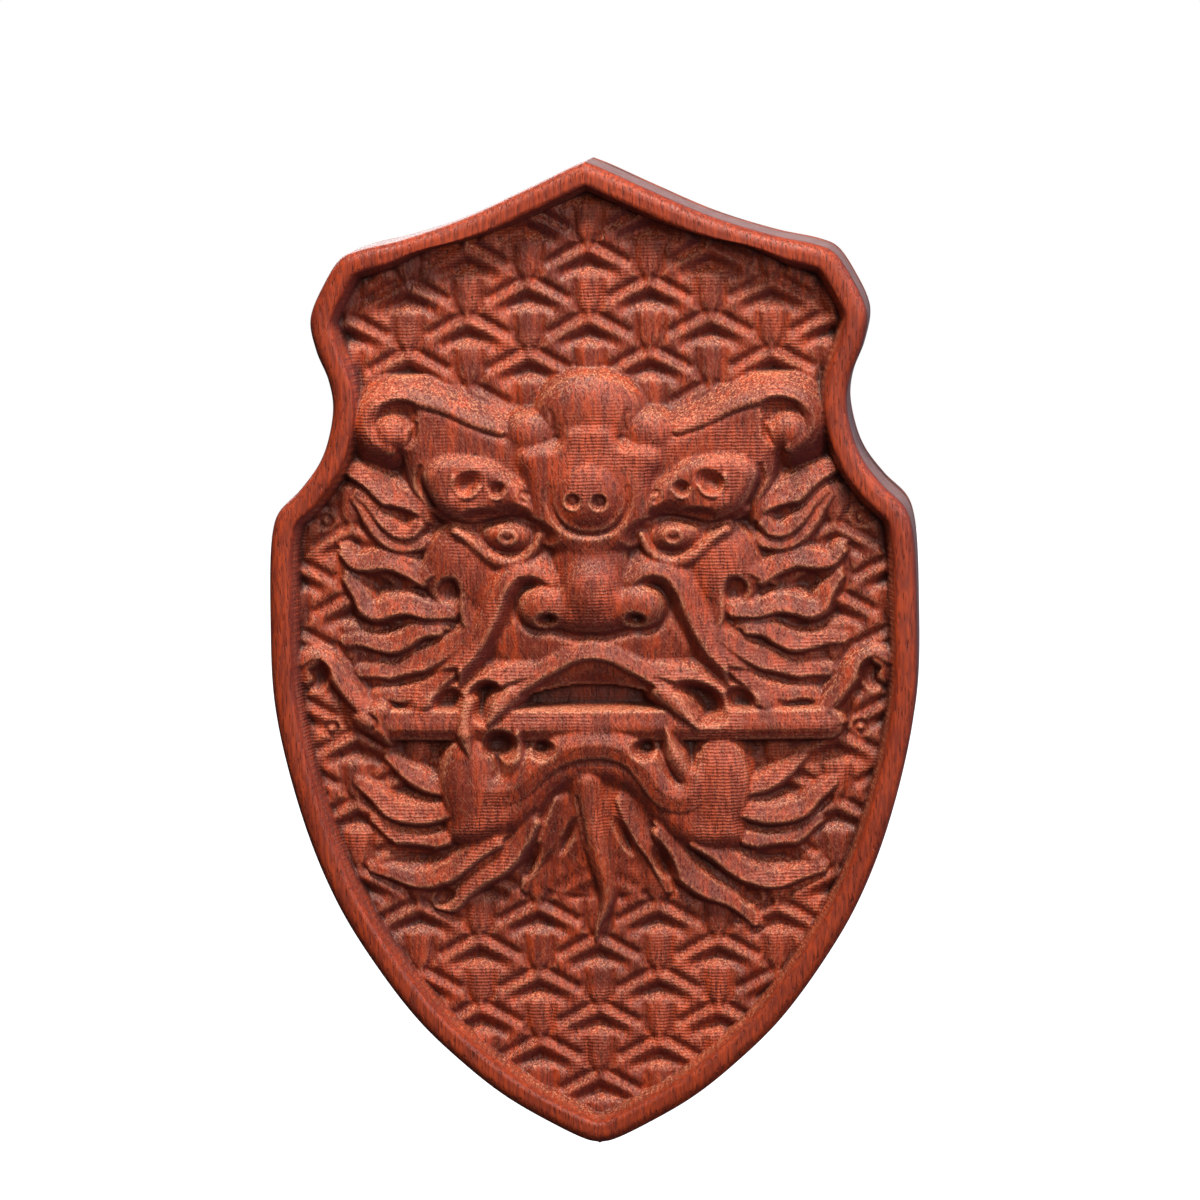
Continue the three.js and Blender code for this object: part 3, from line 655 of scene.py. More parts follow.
def carveBeard(f):
    # a middle strand with two locks on either hand
    mound(f, (0, -18.5), (10, 5.5), 0.75, 2.5, 0.2, mirror=False, soft=0.8)
    crest(f, [(-3.7, -14.4), (-4.4, -16.2), (-5.2, -18.2), (-6.1, -19.9), (-6.7, -21.6), (-7.1, -23.2)],
          (1.3, 1.2, 0.4), (2.0, 1.7, 0.8), 0.4, 0.3, mirror=False)
    crest(f, [(2.4, -14.4), (3.0, -16.2), (3.9, -18.0), (5.2, -19.9), (6.1, -21.6), (6.9, -23.4)],
          (1.3, 1.2, 0.4), (2.0, 1.7, 0.8), 0.4, 0.3, mirror=False)
    crest(f, [(-5.9, -16.6), (-7.2, -19), (-9, -21.1), (-11.2, -22.4), (-12.8, -23.7), (-14.2, -25.1),
              (-15.6, -24.9)], (1.2, 1.5, 0.5), (2.3, 1.9, 0.9), 0.45, 0.35, mirror=False, flip=True)
    crest(f, [(6.1, -17.6), (7.2, -19.9), (8.6, -22.1), (10.6, -23.6), (12.8, -24.5), (14.4, -25.6),
              (15.4, -26.6)], (1.2, 1.5, 0.5), (2.3, 1.9, 0.9), 0.45, 0.35, mirror=False)
    crest(f, [(9.6, -18.6), (11.4, -19.7), (13.2, -21.2), (15.0, -22.3), (17.6, -22.7), (20, -21.9),
              (22, -21.3)], (1.3, 1.4, 0.5), (2.2, 1.7, 0.8), 0.45, 0.35)
    pit(f, (6.6, -21.0), (0.35, 0.9), -0.1, 0.3, tilt=25)
    pit(f, (3.0, -18.6), (0.3, 1.2), 0.3, 0.3, tilt=25)
    pit(f, (15.2, -24.1), (0.9, 0.6), -0.2, 0.3, tilt=-30)
    strand(f, [(-0.8, -12.6), (-0.6, -15), (-0.2, -17.6), (0.5, -20.9), (1.0, -23.6), (0.7, -25.4),
               (0.1, -26.8), (-0.2, -28.4)], (1.4, 1.15, 0.8, 0.15), (2.6, 2.1, 1.0), 0.7, 1.8,
           mirror=False)
    groove(f, [(-1.7, -14), (-1.3, -16.5), (-0.9, -19)], (0.2, 0.35, 0.2), 0.3, mirror=False)


def carveSword(f):
    # sword across the jaw
    crest(f, [(22.7, -7.1), (10, -7.1), (0, -7.1), (-10, -7.1), (-19.6, -7.1)], 1.6,
          (2.2, 2.8, 2.9, 2.8, 2.2), 0.28, 1.3, mirror=False, flip=True, shed=5, steep=5, slopeUnder=0.5)
    plate(f, [(-23.3, -6), (-22, -5.2), (-20.3, -4.8), (-19.8, -5.8), (-20.1, -6.7), (-19.8, -7.6),
              (-20, -8.8), (-21.5, -7.9), (-23, -7)], 2.1, 0.9, 0.6, mirror=False)
    groove(f, [(-21.9, -5.9), (-21.2, -6.7), (-21.6, -7.4)], 0.3, 0.4, mirror=False)


def carveLowerLip(f):
    # lower lip sweeping back to the cheeks
    crest(f, [(-12.2, -12.9), (-11, -12.9), (-9.7, -13.1), (-8.4, -12.9), (-7.2, -12.2), (-6.1, -11.1),
              (-4.9, -10.1), (-3.6, -9.3), (-2.2, -8.8), (-0.3, -8.5), (1.6, -8.6), (3.2, -9.1),
              (4.5, -10.0), (5.5, -11.2), (6.4, -12.6), (7.4, -13.6), (8.6, -13.8), (9.5, -13.1),
              (9.8, -12.2)], (0.7, 1.0, 0.7), (2.7, 3.1, 3.3, 3.2, 2.9), 0.55, 1.6, slopeUnder=0.22,
          shed=1.3, mirror=False, soft=0.3)
    pit(f, (5.2, -9.1), (0.45, 0.35), 0.9, 0.3)


def carveFangs(f):
    # four fangs in their hollows, drawn one by one
    pit(f, (10.5, -4.7), (1.35, 0.85), 0.0, 0.3, mirror=False, tilt=-25)
    pit(f, (-10.4, -4.6), (0.9, 1.05), 0.0, 0.3, mirror=False, tilt=20)
    strand(f, [(6.7, -3.6), (7.9, -4.7), (9.0, -5.9), (10.2, -7.2)], (0.75, 0.6, 0.12), (3.0, 3.35, 3.1),
           0.3, mirror=False, soft=0.1)
    strand(f, [(-7.9, -3.8), (-9.0, -5.0), (-10.2, -6.8)], (0.7, 0.55, 0.12), (3.0, 3.3, 3.05), 0.3,
           mirror=False, soft=0.1)
    strand(f, [(-12.2, -4.6), (-12.5, -6.2), (-12.5, -8), (-12.2, -9.4), (-11.7, -10.8)],
           (0.4, 0.5, 0.12), (2.5, 3.35, 2.5), 0.3, mirror=False, soft=0.1)
    strand(f, [(7.1, -7.2), (7.5, -8.8), (8.1, -10.6), (9.2, -12.6)], (0.12, 0.6, 0.8), (3.1, 3.2, 2.4),
           0.35, mirror=False, soft=0.2)
    strand(f, [(-7.3, -7.4), (-7.8, -9.2), (-7.9, -11), (-8.2, -12.6)], (0.12, 0.7, 0.8), (3.1, 3.2, 2.4),
           0.35, mirror=False, soft=0.2)
    pit(f, (9.8, -9.3), (0.5, 0.5), 1.4, 0.1, mirror=False)
    pit(f, (-9.3, -8.9), (0.85, 0.7), 0.5, 0.3, mirror=False)


def carveStuds(f):
    # small studs at the ends of two scales
    for cx, cz in ((25.9, 12.9), (25.8, -7.5)):
        pit(f, (cx, cz), (0.75, 0.75), -0.1, 0.2)
        mound(f, (cx, cz), (0.4, 0.4), 0.6, 2, 0.0)


def carveMask(field):
    # from the broad masses up to what lies on top
    for part in (carveMasses, carveHorns, carveCrown, carveCloudPlate, carveBrow, carveBoss, carveEyes,
                 carveCheeks, carveNose, carveSnoutFold, carveUpperLip, carveChin, carveMane,
                 carveRibbons, carveSideLocks, carveBeard, carveSword, carveLowerLip, carveFangs,
                 carveStuds):
        part(field)


# one slab of wood: the right-hand half of its edge is drawn from the apex down to the tip
slab = {
    "drawnEdge": [(0, 48), (1.4, 47.45), (6, 45.3), (12, 42.65), (18, 40.75), (22, 39.85), (23.7, 39.1),
                  (25.45, 36.6), (26.9, 33.1), (26.4, 30), (25.3, 27.2), (24.9, 24.7), (25.4, 21.6),
                  (26.3, 19.3), (28.2, 16.75), (30.4, 14.5), (31.1, 12.4), (31.5, 4), (31.2, -5),
                  (28.7, -16), (25.6, -24), (22.1, -30), (17.8, -35.8), (13.6, -39.95), (9.6, -43.2),
                  (5.4, -45.75), (1.3, -47.75), (0, -48)],
    "rows": 780,          # from the apex to the tip, equal steps along the edge
    "columns": 390,
    "draft": 0.15,        # the foot of the side wall stands out this far
    "groundY": -13.1,
    "backY": -7,
    "sideSteps": 14,
}


def slabOutline():
    # right-hand edge from apex to tip at equal steps, and the same line moved in by the draft
    line = curveThrough(slab["drawnEdge"], step=0.05)
    length = np.concatenate([[0], np.cumsum(np.hypot(*np.diff(line, axis=0).T))])
    even = np.linspace(0, length[-1], slab["rows"] + 1)
    foot = np.stack([np.interp(even, length, line[:, 0]), np.interp(even, length, line[:, 1])], 1)
    along = np.gradient(foot, axis=0)
    along /= np.hypot(along[:, 0], along[:, 1])[:, None]
    brow = foot + slab["draft"] * np.stack([along[:, 1], -along[:, 0]], 1)
    brow[0], brow[-1] = (0, foot[0, 1] - slab["draft"]), (0, foot[-1, 1] + slab["draft"])
    return foot, brow, even


def smoothGrid(h, times):
    for _ in range(times):
        p = np.pad(h, 1, mode="edge")
        h = (p[:-2, 1:-1] + p[2:, 1:-1] + p[1:-1, :-2] + p[1:-1, 2:] + 4 * h) / 8
    return h


def boxAverage(h, reach):
    for axis in (0, 1):
        p = np.pad(h, [(reach + 1, reach) if a == axis else (0, 0) for a in (0, 1)], mode="edge")
        total = np.cumsum(p, axis=axis)
        size = 2 * reach + 1
        count = total.shape[axis]
        h = (np.take(total, range(size, count), axis) - np.take(total, range(count - size), axis)) / size
    return h


def rimAndWall(field, brow, even):
    # the raised rim with its rounded outer edge, and the toothed wall down to the ground
    ax, z = np.abs(field["x"]), field["z"]
    rows = len(z)
    best = np.full(z.shape, 99.0)
    place = np.zeros(z.shape)
    edge = brow[1:-1]
    reach = int(5.0 / (even[1] - even[0]))
    for shift in range(-reach, reach):
        pick = np.clip(np.arange(rows) + shift, 0, rows - 2)
        a, b = edge[pick], edge[pick + 1]
        size = np.hypot(*(b - a).T)
        ux, uz = ((b - a) / size[:, None]).T
        along = np.clip((ax - a[:, :1]) * ux[:, None] + (z - a[:, 1:]) * uz[:, None], 0, size[:, None])
        d = np.hypot(ax - a[:, :1] - along * ux[:, None], z - a[:, 1:] - along * uz[:, None])
        closer = d < best
        best = np.where(closer, d, best)
        place = np.where(closer, even[pick + 1][:, None] + along, place)
    crown, wide, turn, run = (carving[k] for k in ("rimCrown", "rimWidth", "rimRound", "wallRun"))
    rounded = crown - turn + np.sqrt(np.maximum(turn ** 2 - np.maximum(turn - best, 0) ** 2, 0))
    inward = np.maximum(best - wide, 0)
    lip = rounded - 0.18 * np.clip((best - wide + 0.45) / 0.45, 0, 1) ** 2
    wave = np.sin(place * 2 * math.pi / carving["toothPitch"] + 3 * inward)
    tooth = carving["toothDepth"] * wave * np.clip(inward / 0.3, 0, 1)
    wall = lip - inward / run * (crown + 0.2) + tooth
    inside = best > wide
    field["h"] = np.where(inside, np.maximum(field["h"], wall), lip)
    field["edge"] = best


def carvedRelief(brow, even):
    # heights over the ground, on a grid that fills the shield
    x = brow[1:-1, :1] * np.linspace(-1, 1, slab["columns"] + 1)
    z = np.repeat(brow[1:-1, 1:], slab["columns"] + 1, axis=1)
    field = {"x": x, "z": z - carving["lift"], "h": np.zeros(x.shape)}
    armourScales(field)
    carveMask(field)
    field["z"] = z
    rimAndWall(field, brow, even)
    h = smoothGrid(field["h"], 1)
    h[:, 0], h[:, -1] = field["h"][:, 0], field["h"][:, -1]
    field["h"] = h
    return field


def slabSkin(field, foot, brow, middleZ):
    # the carved front, the side wall and the flat back of the slab, as points in mm and faces
    inner, width = field["h"].shape
    columns = width - 1
    grid = np.stack([field["x"], slab["groundY"] - field["h"], field["z"] + middleZ], -1).reshape(-1, 3)
    edgeY = slab["groundY"] - (carving["rimCrown"] - carving["rimRound"])
    apex, tip = len(grid), len(grid) + 1
    ends = [[0, edgeY, brow[0, 1] + middleZ], [0, edgeY, brow[-1, 1] + middleZ]]
    i, j = np.meshgrid(np.arange(inner - 1), np.arange(columns), indexing="ij")
    corner = i * width + j
    faces = np.stack([corner, corner + width, corner + width + 1, corner + 1], -1).reshape(-1, 4).tolist()
    faces += [[apex, k, k + 1] for k in range(columns)]
    lastRow = (inner - 1) * width
    faces += [[tip, lastRow + k + 1, lastRow + k] for k in range(columns)]
    frontFaces = len(faces)
    # side wall, loop by loop from the front edge to the board
    previous = np.array([apex] + [row * width for row in range(inner)]
                        + [tip] + [row * width + columns for row in range(inner - 1, -1, -1)])
    top, bottom = (np.concatenate([[line[0]], line[1:-1] * (-1, 1), [line[-1]], line[-2:0:-1]])
                   for line in (brow, foot))
    count = len(previous)
    nextPoint = len(grid) + 2
    loops = []
    for step in range(1, slab["sideSteps"] + 1):
        t = step / slab["sideSteps"]
        ring = top * (1 - t) + bottom * t
        y = np.full(count, edgeY * (1 - t) + slab["backY"] * t)
        loops.append(np.stack([ring[:, 0], y, ring[:, 1] + middleZ], 1))
        current = nextPoint + np.arange(count)
        strip = np.stack([previous, np.roll(previous, -1), np.roll(current, -1), current], 1)
        faces += strip[:, ::-1].tolist()
        previous, nextPoint = current, nextPoint + count
    # flat back, one strip for each row
    left, right = previous[1:inner + 1], previous[inner + 2:][::-1]
    faces += np.stack([left[:-1], right[:-1], right[1:], left[1:]], 1).tolist()
    faces += [[int(previous[0]), int(right[0]), int(left[0])],
              [int(previous[inner + 1]), int(left[-1]), int(right[-1])]]
    return np.concatenate([grid, ends] + loops), faces, frontFaces


def woodMarks(field):
    # what the wood's colours follow: how hollow (painted shade), keen edged (painted highlight), proud, up
    # facing (painted highlight), down facing (painted shade) and near the rim a place is
    x, z, h = field["x"], field["z"], field["h"]
    slopeUp = np.gradient(h, axis=0) / np.gradient(z, axis=0)
    slopeAcross = np.gradient(h, axis=1) / np.maximum(np.gradient(x, axis=1), 1e-3)
    wide = boxAverage(boxAverage(h, 8), 8)
    tight = boxAverage(h, 2)
    # how far a place lies below its surroundings; the wood paints shade there
    hollow = np.clip((wide - h - 0.12) / 1.25, 0, 1) + np.clip((tight - h - 0.05) / 0.3, 0, 1) * 0.12
    lean = smoothGrid(slopeAcross * 0.25 - slopeUp, 1)
    return {
        "hollow": np.clip(hollow, 0, 1),
        # keen crests get a pale line of painted highlight
        "keen": smoothGrid(np.clip((h - tight - 0.015) / 0.09, 0, 1), 1),
        "proud": np.clip((h - wide) / 0.5 + 0.3, 0, 1),
        # slopes that face up get paler fibres: painted highlight
        "faceUp": np.clip((lean - 0.15) / 0.9, 0, 1),
        # slopes that face down get painted shade
        "faceDown": np.clip((-lean - 0.2) / 1.0, 0, 1),
        "rim": np.clip(1 - (field["edge"] - carving["rimWidth"] - 0.1) / 0.3, 0, 1),
    }


def carvedFront(frontWood, sideWood):
    low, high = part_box("carved_front")
    foot, brow, even = slabOutline()
    field = carvedRelief(brow, even)
    points, faces, frontFaces = slabSkin(field, foot, brow, (low.z + high.z) / 2 / mm)
    mesh = bpy.data.meshes.new("carved_slab")
    mesh.from_pydata((points * mm).tolist(), [], faces)
    mesh.materials.append(frontWood)
    mesh.materials.append(sideWood)
    slots = np.zeros(len(faces), np.int32)
    slots[frontFaces:] = 1
    mesh.polygons.foreach_set("material_index", slots)
    mesh.polygons.foreach_set("use_smooth", np.ones(len(faces), bool))
    mesh.update()
    for name, values in woodMarks(field).items():
        data = np.zeros(len(points), np.float32)
        data[:values.size] = values.reshape(-1)
        data[values.size:values.size + 2] = 1 if name == "rim" else 0
        mesh.attributes.new(name, "FLOAT", "POINT").data.foreach_set("value", data)
    made = bpy.data.objects.new("carved_slab", mesh)
    bpy.context.scene.collection.objects.link(made)
    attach(made, "plaque")
    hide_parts("carved_front")


# Oiled rosewood, cut by a fine round cutter: vertical grain with open pores, the passes of the cutter
# as fine level ridges with painted sheen on their tops, raised pale fibres with painted highlight on
# slopes that face up, painted highlight along keen crests, and painted shade in the hollows and on faces
# that look down.
rosewood = {
    # the pore colour also paints shade in the hollows; the fibre colour also paints highlights; shade
    # paints shade on faces that look down; cutSheen paints sheen on ridge tops
    "mid": "983617", "dark": "5c2018", "bright": "b04318", "poreAndHollowShade": "240c08", "fibre": "dc9672",
    "shade": "5c2228", "rimTone": "98391a", "cutSheen": "c98f88",
    "patterns": {         # width and length in mm, detail, lean in degrees
        "grain": (0.6, 8, 3, 0),
        "streaks": (0.16, 1.1, 2, 0),
        "pores": (0.08, 0.7, 1, 0),
        "rightFibres": (0.08, 0.3, 2, 35),
        "leftFibres": (0.08, 0.3, 2, -30),
    },
    "patchSize": 8,
    "ridgePitch": 0.32,   # the cutter's step, mm
    "bumpDepth": 0.12,
}


def carvedRosewood():
    wood = rosewood
    material, tree = newMaterial("carvedOiledRosewood")
    place = addNode(tree, "ShaderNodeTexCoord", output="Object")
    hollow, keen, proud, faceUp, faceDown, rim = (
        addNode(tree, "ShaderNodeAttribute", {"attribute_name": name}, output="Fac")
        for name in ("hollow", "keen", "proud", "faceUp", "faceDown", "rim"))
    notRim = addNode(tree, "ShaderNodeMath", {"operation": "SUBTRACT"}, {0: 1.0, 1: rim})
    drawn = {}
    for name, (width, length, detail, lean) in wood["patterns"].items():
        along = addNode(tree, "ShaderNodeMapping", {"vector_type": "TEXTURE"}, {
            "Vector": place, "Rotation": (0, math.radians(lean), 0), "Scale": (1, 1, length / width)})
        drawn[name] = addNode(tree, "ShaderNodeTexNoise", {}, {
            "Vector": along, "Scale": perMetre(width * 2), "Detail": detail})
    fibres = addNode(tree, "ShaderNodeMath", {"operation": "MAXIMUM"},
                     {0: drawn["rightFibres"], 1: drawn["leftFibres"]})
    patches = addNode(tree, "ShaderNodeTexNoise", {}, {
        "Vector": place, "Scale": perMetre(wood["patchSize"]), "Detail": 3})
    ridges = addNode(tree, "ShaderNodeTexWave",
                     {"wave_type": "BANDS", "bands_direction": "Z", "wave_profile": "SIN"},
                     {"Vector": place, "Scale": math.pi / 10 * perMetre(wood["ridgePitch"]),
                      "Distortion": 2.2, "Detail": 2, "Detail Scale": 1.4})
    # each share runs from its third to its fourth number as the pattern goes from its first to its second
    shares = {
        "stripe": (drawn["grain"], 0.36, 0.66, 0, 1),
        "bright": (patches, 0.40, 0.70, 0.1, 0.6),
        "streak": (drawn["streaks"], 0.38, 0.62, 0.6, 0),
        "pore": (drawn["pores"], 0.60, 0.70, 0, 0.55),
        # painted shade: hollows and crevices darkened towards the pore colour
        "hollow": (hollow, 0.05, 0.95, 0, 0.82),
        "fibreTips": (fibres, 0.56, 0.66, 0, 1),
        # painted highlight: fibres shown pale mostly on slopes that face up
        "upSlopeHighlight": (faceUp, 0.0, 1.0, 0.10, 0.55),
        "open": (hollow, 0.1, 0.8, 1.0, 0.25),
        # painted highlight along keen crests, broken up by the fibres
        "crestHighlightFibres": (fibres, 0.42, 0.66, 0.02, 0.5),
        "ridgeTops": (ridges, 0.55, 1.0, 0, 1),
        # painted sheen on the cutter's ridge tops, only in patches
        "sheenPatch": (patches, 0.45, 0.6, 0, 1),
        "sheenStreak": (drawn["streaks"], 0.4, 0.6, 0, 1),
        "poreDepth": (drawn["pores"], 0.58, 0.70, 0, 0.5),
        "ridgeDepth": (patches, 0.48, 0.62, 0.03, 0.35),
        "dullness": (patches, 0.3, 0.7, 0.42, 0.56),
    }
    for name, (value, low, high, first, last) in shares.items():
        shares[name] = addNode(tree, "ShaderNodeMapRange", {"interpolation_type": "SMOOTHSTEP"}, {
            "Value": value, "From Min": low, "From Max": high, "To Min": first, "To Max": last})
    products = {
        "onRim": (rim, 0.6),
        # painted shade on faces that look down
        "under": (faceDown, 0.75),
        # real raised fibres, made paler on slopes that face up by painted highlight
        "fuzzAndUpHighlight": (shares["fibreTips"], shares["upSlopeHighlight"], notRim, shares["open"]),
        # painted highlight along keen crests
        "crestHighlight": (keen, notRim, shares["crestHighlightFibres"]),
        # painted sheen: pale glints on the tops of the cutter's ridges
        "cut": (shares["ridgeTops"], shares["sheenPatch"], notRim, proud, shares["sheenStreak"], 0.32),
        "grainHeight": (drawn["grain"], 0.2),
        "streakHeight": (drawn["streaks"], 0.7),
        "ridgeHeight": (ridges, notRim, shares["ridgeDepth"]),
        "fibreHeight": (fibres, notRim, 0.9),
        "poreHeight": (shares["poreDepth"], -1.0),
    }
    for name, (product, *factors) in products.items():
        for factor in factors:
            product = addNode(tree, "ShaderNodeMath", {"operation": "MULTIPLY"}, {0: product, 1: factor})
        products[name] = product
    # colours laid one over the other, painted shade and painted highlights among them
    tone = linearColour(wood["dark"])
    layers = ((shares["stripe"], "mid"), (shares["bright"], "bright"), (products["onRim"], "rimTone"),
              (shares["streak"], "dark"), (shares["pore"], "poreAndHollowShade"), (products["under"], "shade"),
              (shares["hollow"], "poreAndHollowShade"), (products["fuzzAndUpHighlight"], "fibre"), (products["crestHighlight"], "fibre"),
              (products["cut"], "cutSheen"))
    for share, colour in layers:
        tone = addNode(tree, "ShaderNodeMix", {"data_type": "RGBA"},
                       {0: share, 6: tone, 7: linearColour(wood[colour])}, 2)
    # relief too fine for the mesh
    height = products["grainHeight"]
    for part in ("streakHeight", "poreHeight", "ridgeHeight", "fibreHeight"):
        height = addNode(tree, "ShaderNodeMath", {"operation": "ADD"}, {0: height, 1: products[part]})
    bump = addNode(tree, "ShaderNodeBump", {}, {
        "Height": height, "Strength": 0.85, "Distance": wood["bumpDepth"] * mm})
    fuzzy = addNode(tree, "ShaderNodeMath", {"operation": "MULTIPLY"}, {0: products["fuzzAndUpHighlight"], 1: 0.25})
    rough = addNode(tree, "ShaderNodeMath", {"operation": "ADD"}, {0: shares["dullness"], 1: fuzzy})
    finishMaterial(tree, addNode(tree, "ShaderNodeBsdfPrincipled", {}, {
        "Base Color": tone, "Roughness": rough, "Normal": bump, "IOR": 1.42}))
    return material


# Sanded edge of the same wood: pale lavender grey, partly the sanded wood and partly painted sheen of
# light grazing the side, with the band marks of the sander round it and a dark line burnt by the cutter
# where the rounded rim ends.
edgeWood = {
    # the pale and deep tones carry painted sheen as well as the tone of the sanded wood
    "pale": "86696a", "deep": "5b3c3a", "burnt": "2a1210",
    "bandWidth": 1.2, "bandStretch": 8, "burntWidth": 0.45, "bumpDepth": 0.1,
}


def sandedRosewood():
    wood = edgeWood
    material, tree = newMaterial("sandedRosewoodEdge")
    place = addNode(tree, "ShaderNodeTexCoord", output="Object")
    depth = addNode(tree, "ShaderNodeSeparateXYZ", {}, {"Vector": place}, "Y")
    front = (slab["groundY"] - carving["rimCrown"] + carving["rimRound"]) * mm
    line = addNode(tree, "ShaderNodeMapRange", {"interpolation_type": "SMOOTHSTEP"}, {
        "Value": depth, "From Min": front + 0.1 * mm, "From Max": front + wood["burntWidth"] * mm,
        "To Min": 0.8, "To Max": 0.0})
    flat = addNode(tree, "ShaderNodeMapping", {}, {"Vector": place, "Scale": (1, wood["bandStretch"], 1)})
    bands = addNode(tree, "ShaderNodeTexNoise", {}, {
        "Vector": flat, "Scale": perMetre(wood["bandWidth"]), "Detail": 4})
    share = addNode(tree, "ShaderNodeMapRange", {}, {"Value": bands, "From Min": 0.35, "From Max": 0.65})
    tone = addNode(tree, "ShaderNodeMix", {"data_type": "RGBA"},
                   {0: share, 6: linearColour(wood["deep"]), 7: linearColour(wood["pale"])}, 2)
    tone = addNode(tree, "ShaderNodeMix", {"data_type": "RGBA"},
                   {0: line, 6: tone, 7: linearColour(wood["burnt"])}, 2)
    bump = addNode(tree, "ShaderNodeBump", {}, {
        "Height": bands, "Strength": 0.5, "Distance": wood["bumpDepth"] * mm})
    finishMaterial(tree, addNode(tree, "ShaderNodeBsdfPrincipled", {}, {
        "Base Color": tone, "Roughness": 0.55, "Normal": bump, "IOR": 1.48}))
    return material


carvedFront(carvedRosewood(), sandedRosewood())
print("carved slab made")


def addPiece(name, points, faces, material=None):
    # drawn in mm; finishPiece takes it to metres once its cuts are made
    mesh = bpy.data.meshes.new(name)
    mesh.from_pydata([tuple(float(c) for c in p) for p in points], [],
                     [tuple(int(k) for k in f) for f in faces])
    skin = bmesh.new()
    skin.from_mesh(mesh)
    bmesh.ops.recalc_face_normals(skin, faces=skin.faces)
    skin.to_mesh(mesh)
    skin.free()
    if material:
        mesh.materials.append(material)
    mesh.update()
    made = bpy.data.objects.new(name, mesh)
    bpy.context.scene.collection.objects.link(made)
    return made


def applyModifiers(piece):
    graph = bpy.context.evaluated_depsgraph_get()
    done = bpy.data.meshes.new_from_object(piece.evaluated_get(graph))
    piece.modifiers.clear()
    piece.data = done


def cutWith(piece, cutters):
    for cutter in cutters:
        cut = piece.modifiers.new("cut", "BOOLEAN")
        cut.operation = "DIFFERENCE"
        cut.solver = "EXACT"
        cut.object = cutter
    applyModifiers(piece)
    for cutter in cutters:
        bpy.data.objects.remove(cutter)


def finishPiece(piece, body, node, bevel=0.0, sharp=35):
    # worn edges of bevel mm, then metres, shading and the part's own names
    if bevel:
        edge = piece.modifiers.new("edge", "BEVEL")
        edge.width = bevel
        edge.segments = 2
        edge.limit_method = "ANGLE"
        edge.angle_limit = math.radians(40)
        applyModifiers(piece)
    piece.data.transform(Matrix.Scale(mm, 4))
    piece.data.polygons.foreach_set("use_smooth", [True] * len(piece.data.polygons))
    piece.data.set_sharp_from_angle(angle=math.radians(sharp))
    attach(piece, body)
    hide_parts(node)


def nodeBox(node):
    # the corners of a CAD node's box, in mm
    low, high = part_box(node)
    return low / mm, high / mm


def nodeCentre(node):
    low, high = nodeBox(node)
    return (low.x + high.x) / 2, (low.z + high.z) / 2


def nodesNamed(start):
    return sorted(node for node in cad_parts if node.startswith(start))


def turned(profile, centre, sides=48):
    # (radius, y) points along an axis parallel to Y, closed at both ends on the axis
    points, faces, starts = [], [], []
    turns = [2 * math.pi * k / sides for k in range(sides)]
    for radius, y in profile:
        starts.append(len(points))
        ring = [(centre[0], y, centre[1])] if radius == 0 else [
            (centre[0] + radius * math.cos(t), y, centre[1] + radius * math.sin(t)) for t in turns]
        points += ring
    for (ra, _), (rb, _), a, b in zip(profile[:-1], profile[1:], starts[:-1], starts[1:]):
        for k in range(sides):
            n = (k + 1) % sides
            if ra == 0:
                faces.append((a, b + n, b + k))
            elif rb == 0:
                faces.append((a + k, a + n, b))
            else:
                faces.append((a + k, a + n, b + n, b + k))
    return points, faces


def swept(ringPoints, closed=True):
    # rings of points joined one after the other into a skin
    count, sides = len(ringPoints), len(ringPoints[0])
    faces = []
    for i in range(count if closed else count - 1):
        a, b = i * sides, ((i + 1) % count) * sides
        faces += [(a + k, a + (k + 1) % sides, b + (k + 1) % sides, b + k) for k in range(sides)]
    if not closed:
        last = (count - 1) * sides
        faces += [tuple(range(sides))[::-1], tuple(range(last, last + sides))]
    return [p for ring in ringPoints for p in ring], faces


# Solid brass, turned and lacquered: warm mirror-like metal, dulled and browned where screwdrivers reach.
# Nickel plate on pressed steel: pale warm grey with a soft gloss and fine scuffs.
metals = {
    "lacqueredBrass": {
        "clean": "c9a052", "dull": "7d5a2c", "smooth": 0.24, "scuffed": 0.42, "dulled": 0.5,
    },
    "nickelPlatedSteel": {
        "clean": "c6c1b6", "dull": "7f7a70", "smooth": 0.20, "scuffed": 0.40, "dulled": 0.35,
    },
    "stainSize": 1.6,      # mm
    "scratchWidth": 0.12,  # drawn coarser than real scratches, which would not show
    "bumpDepth": 0.03,
}


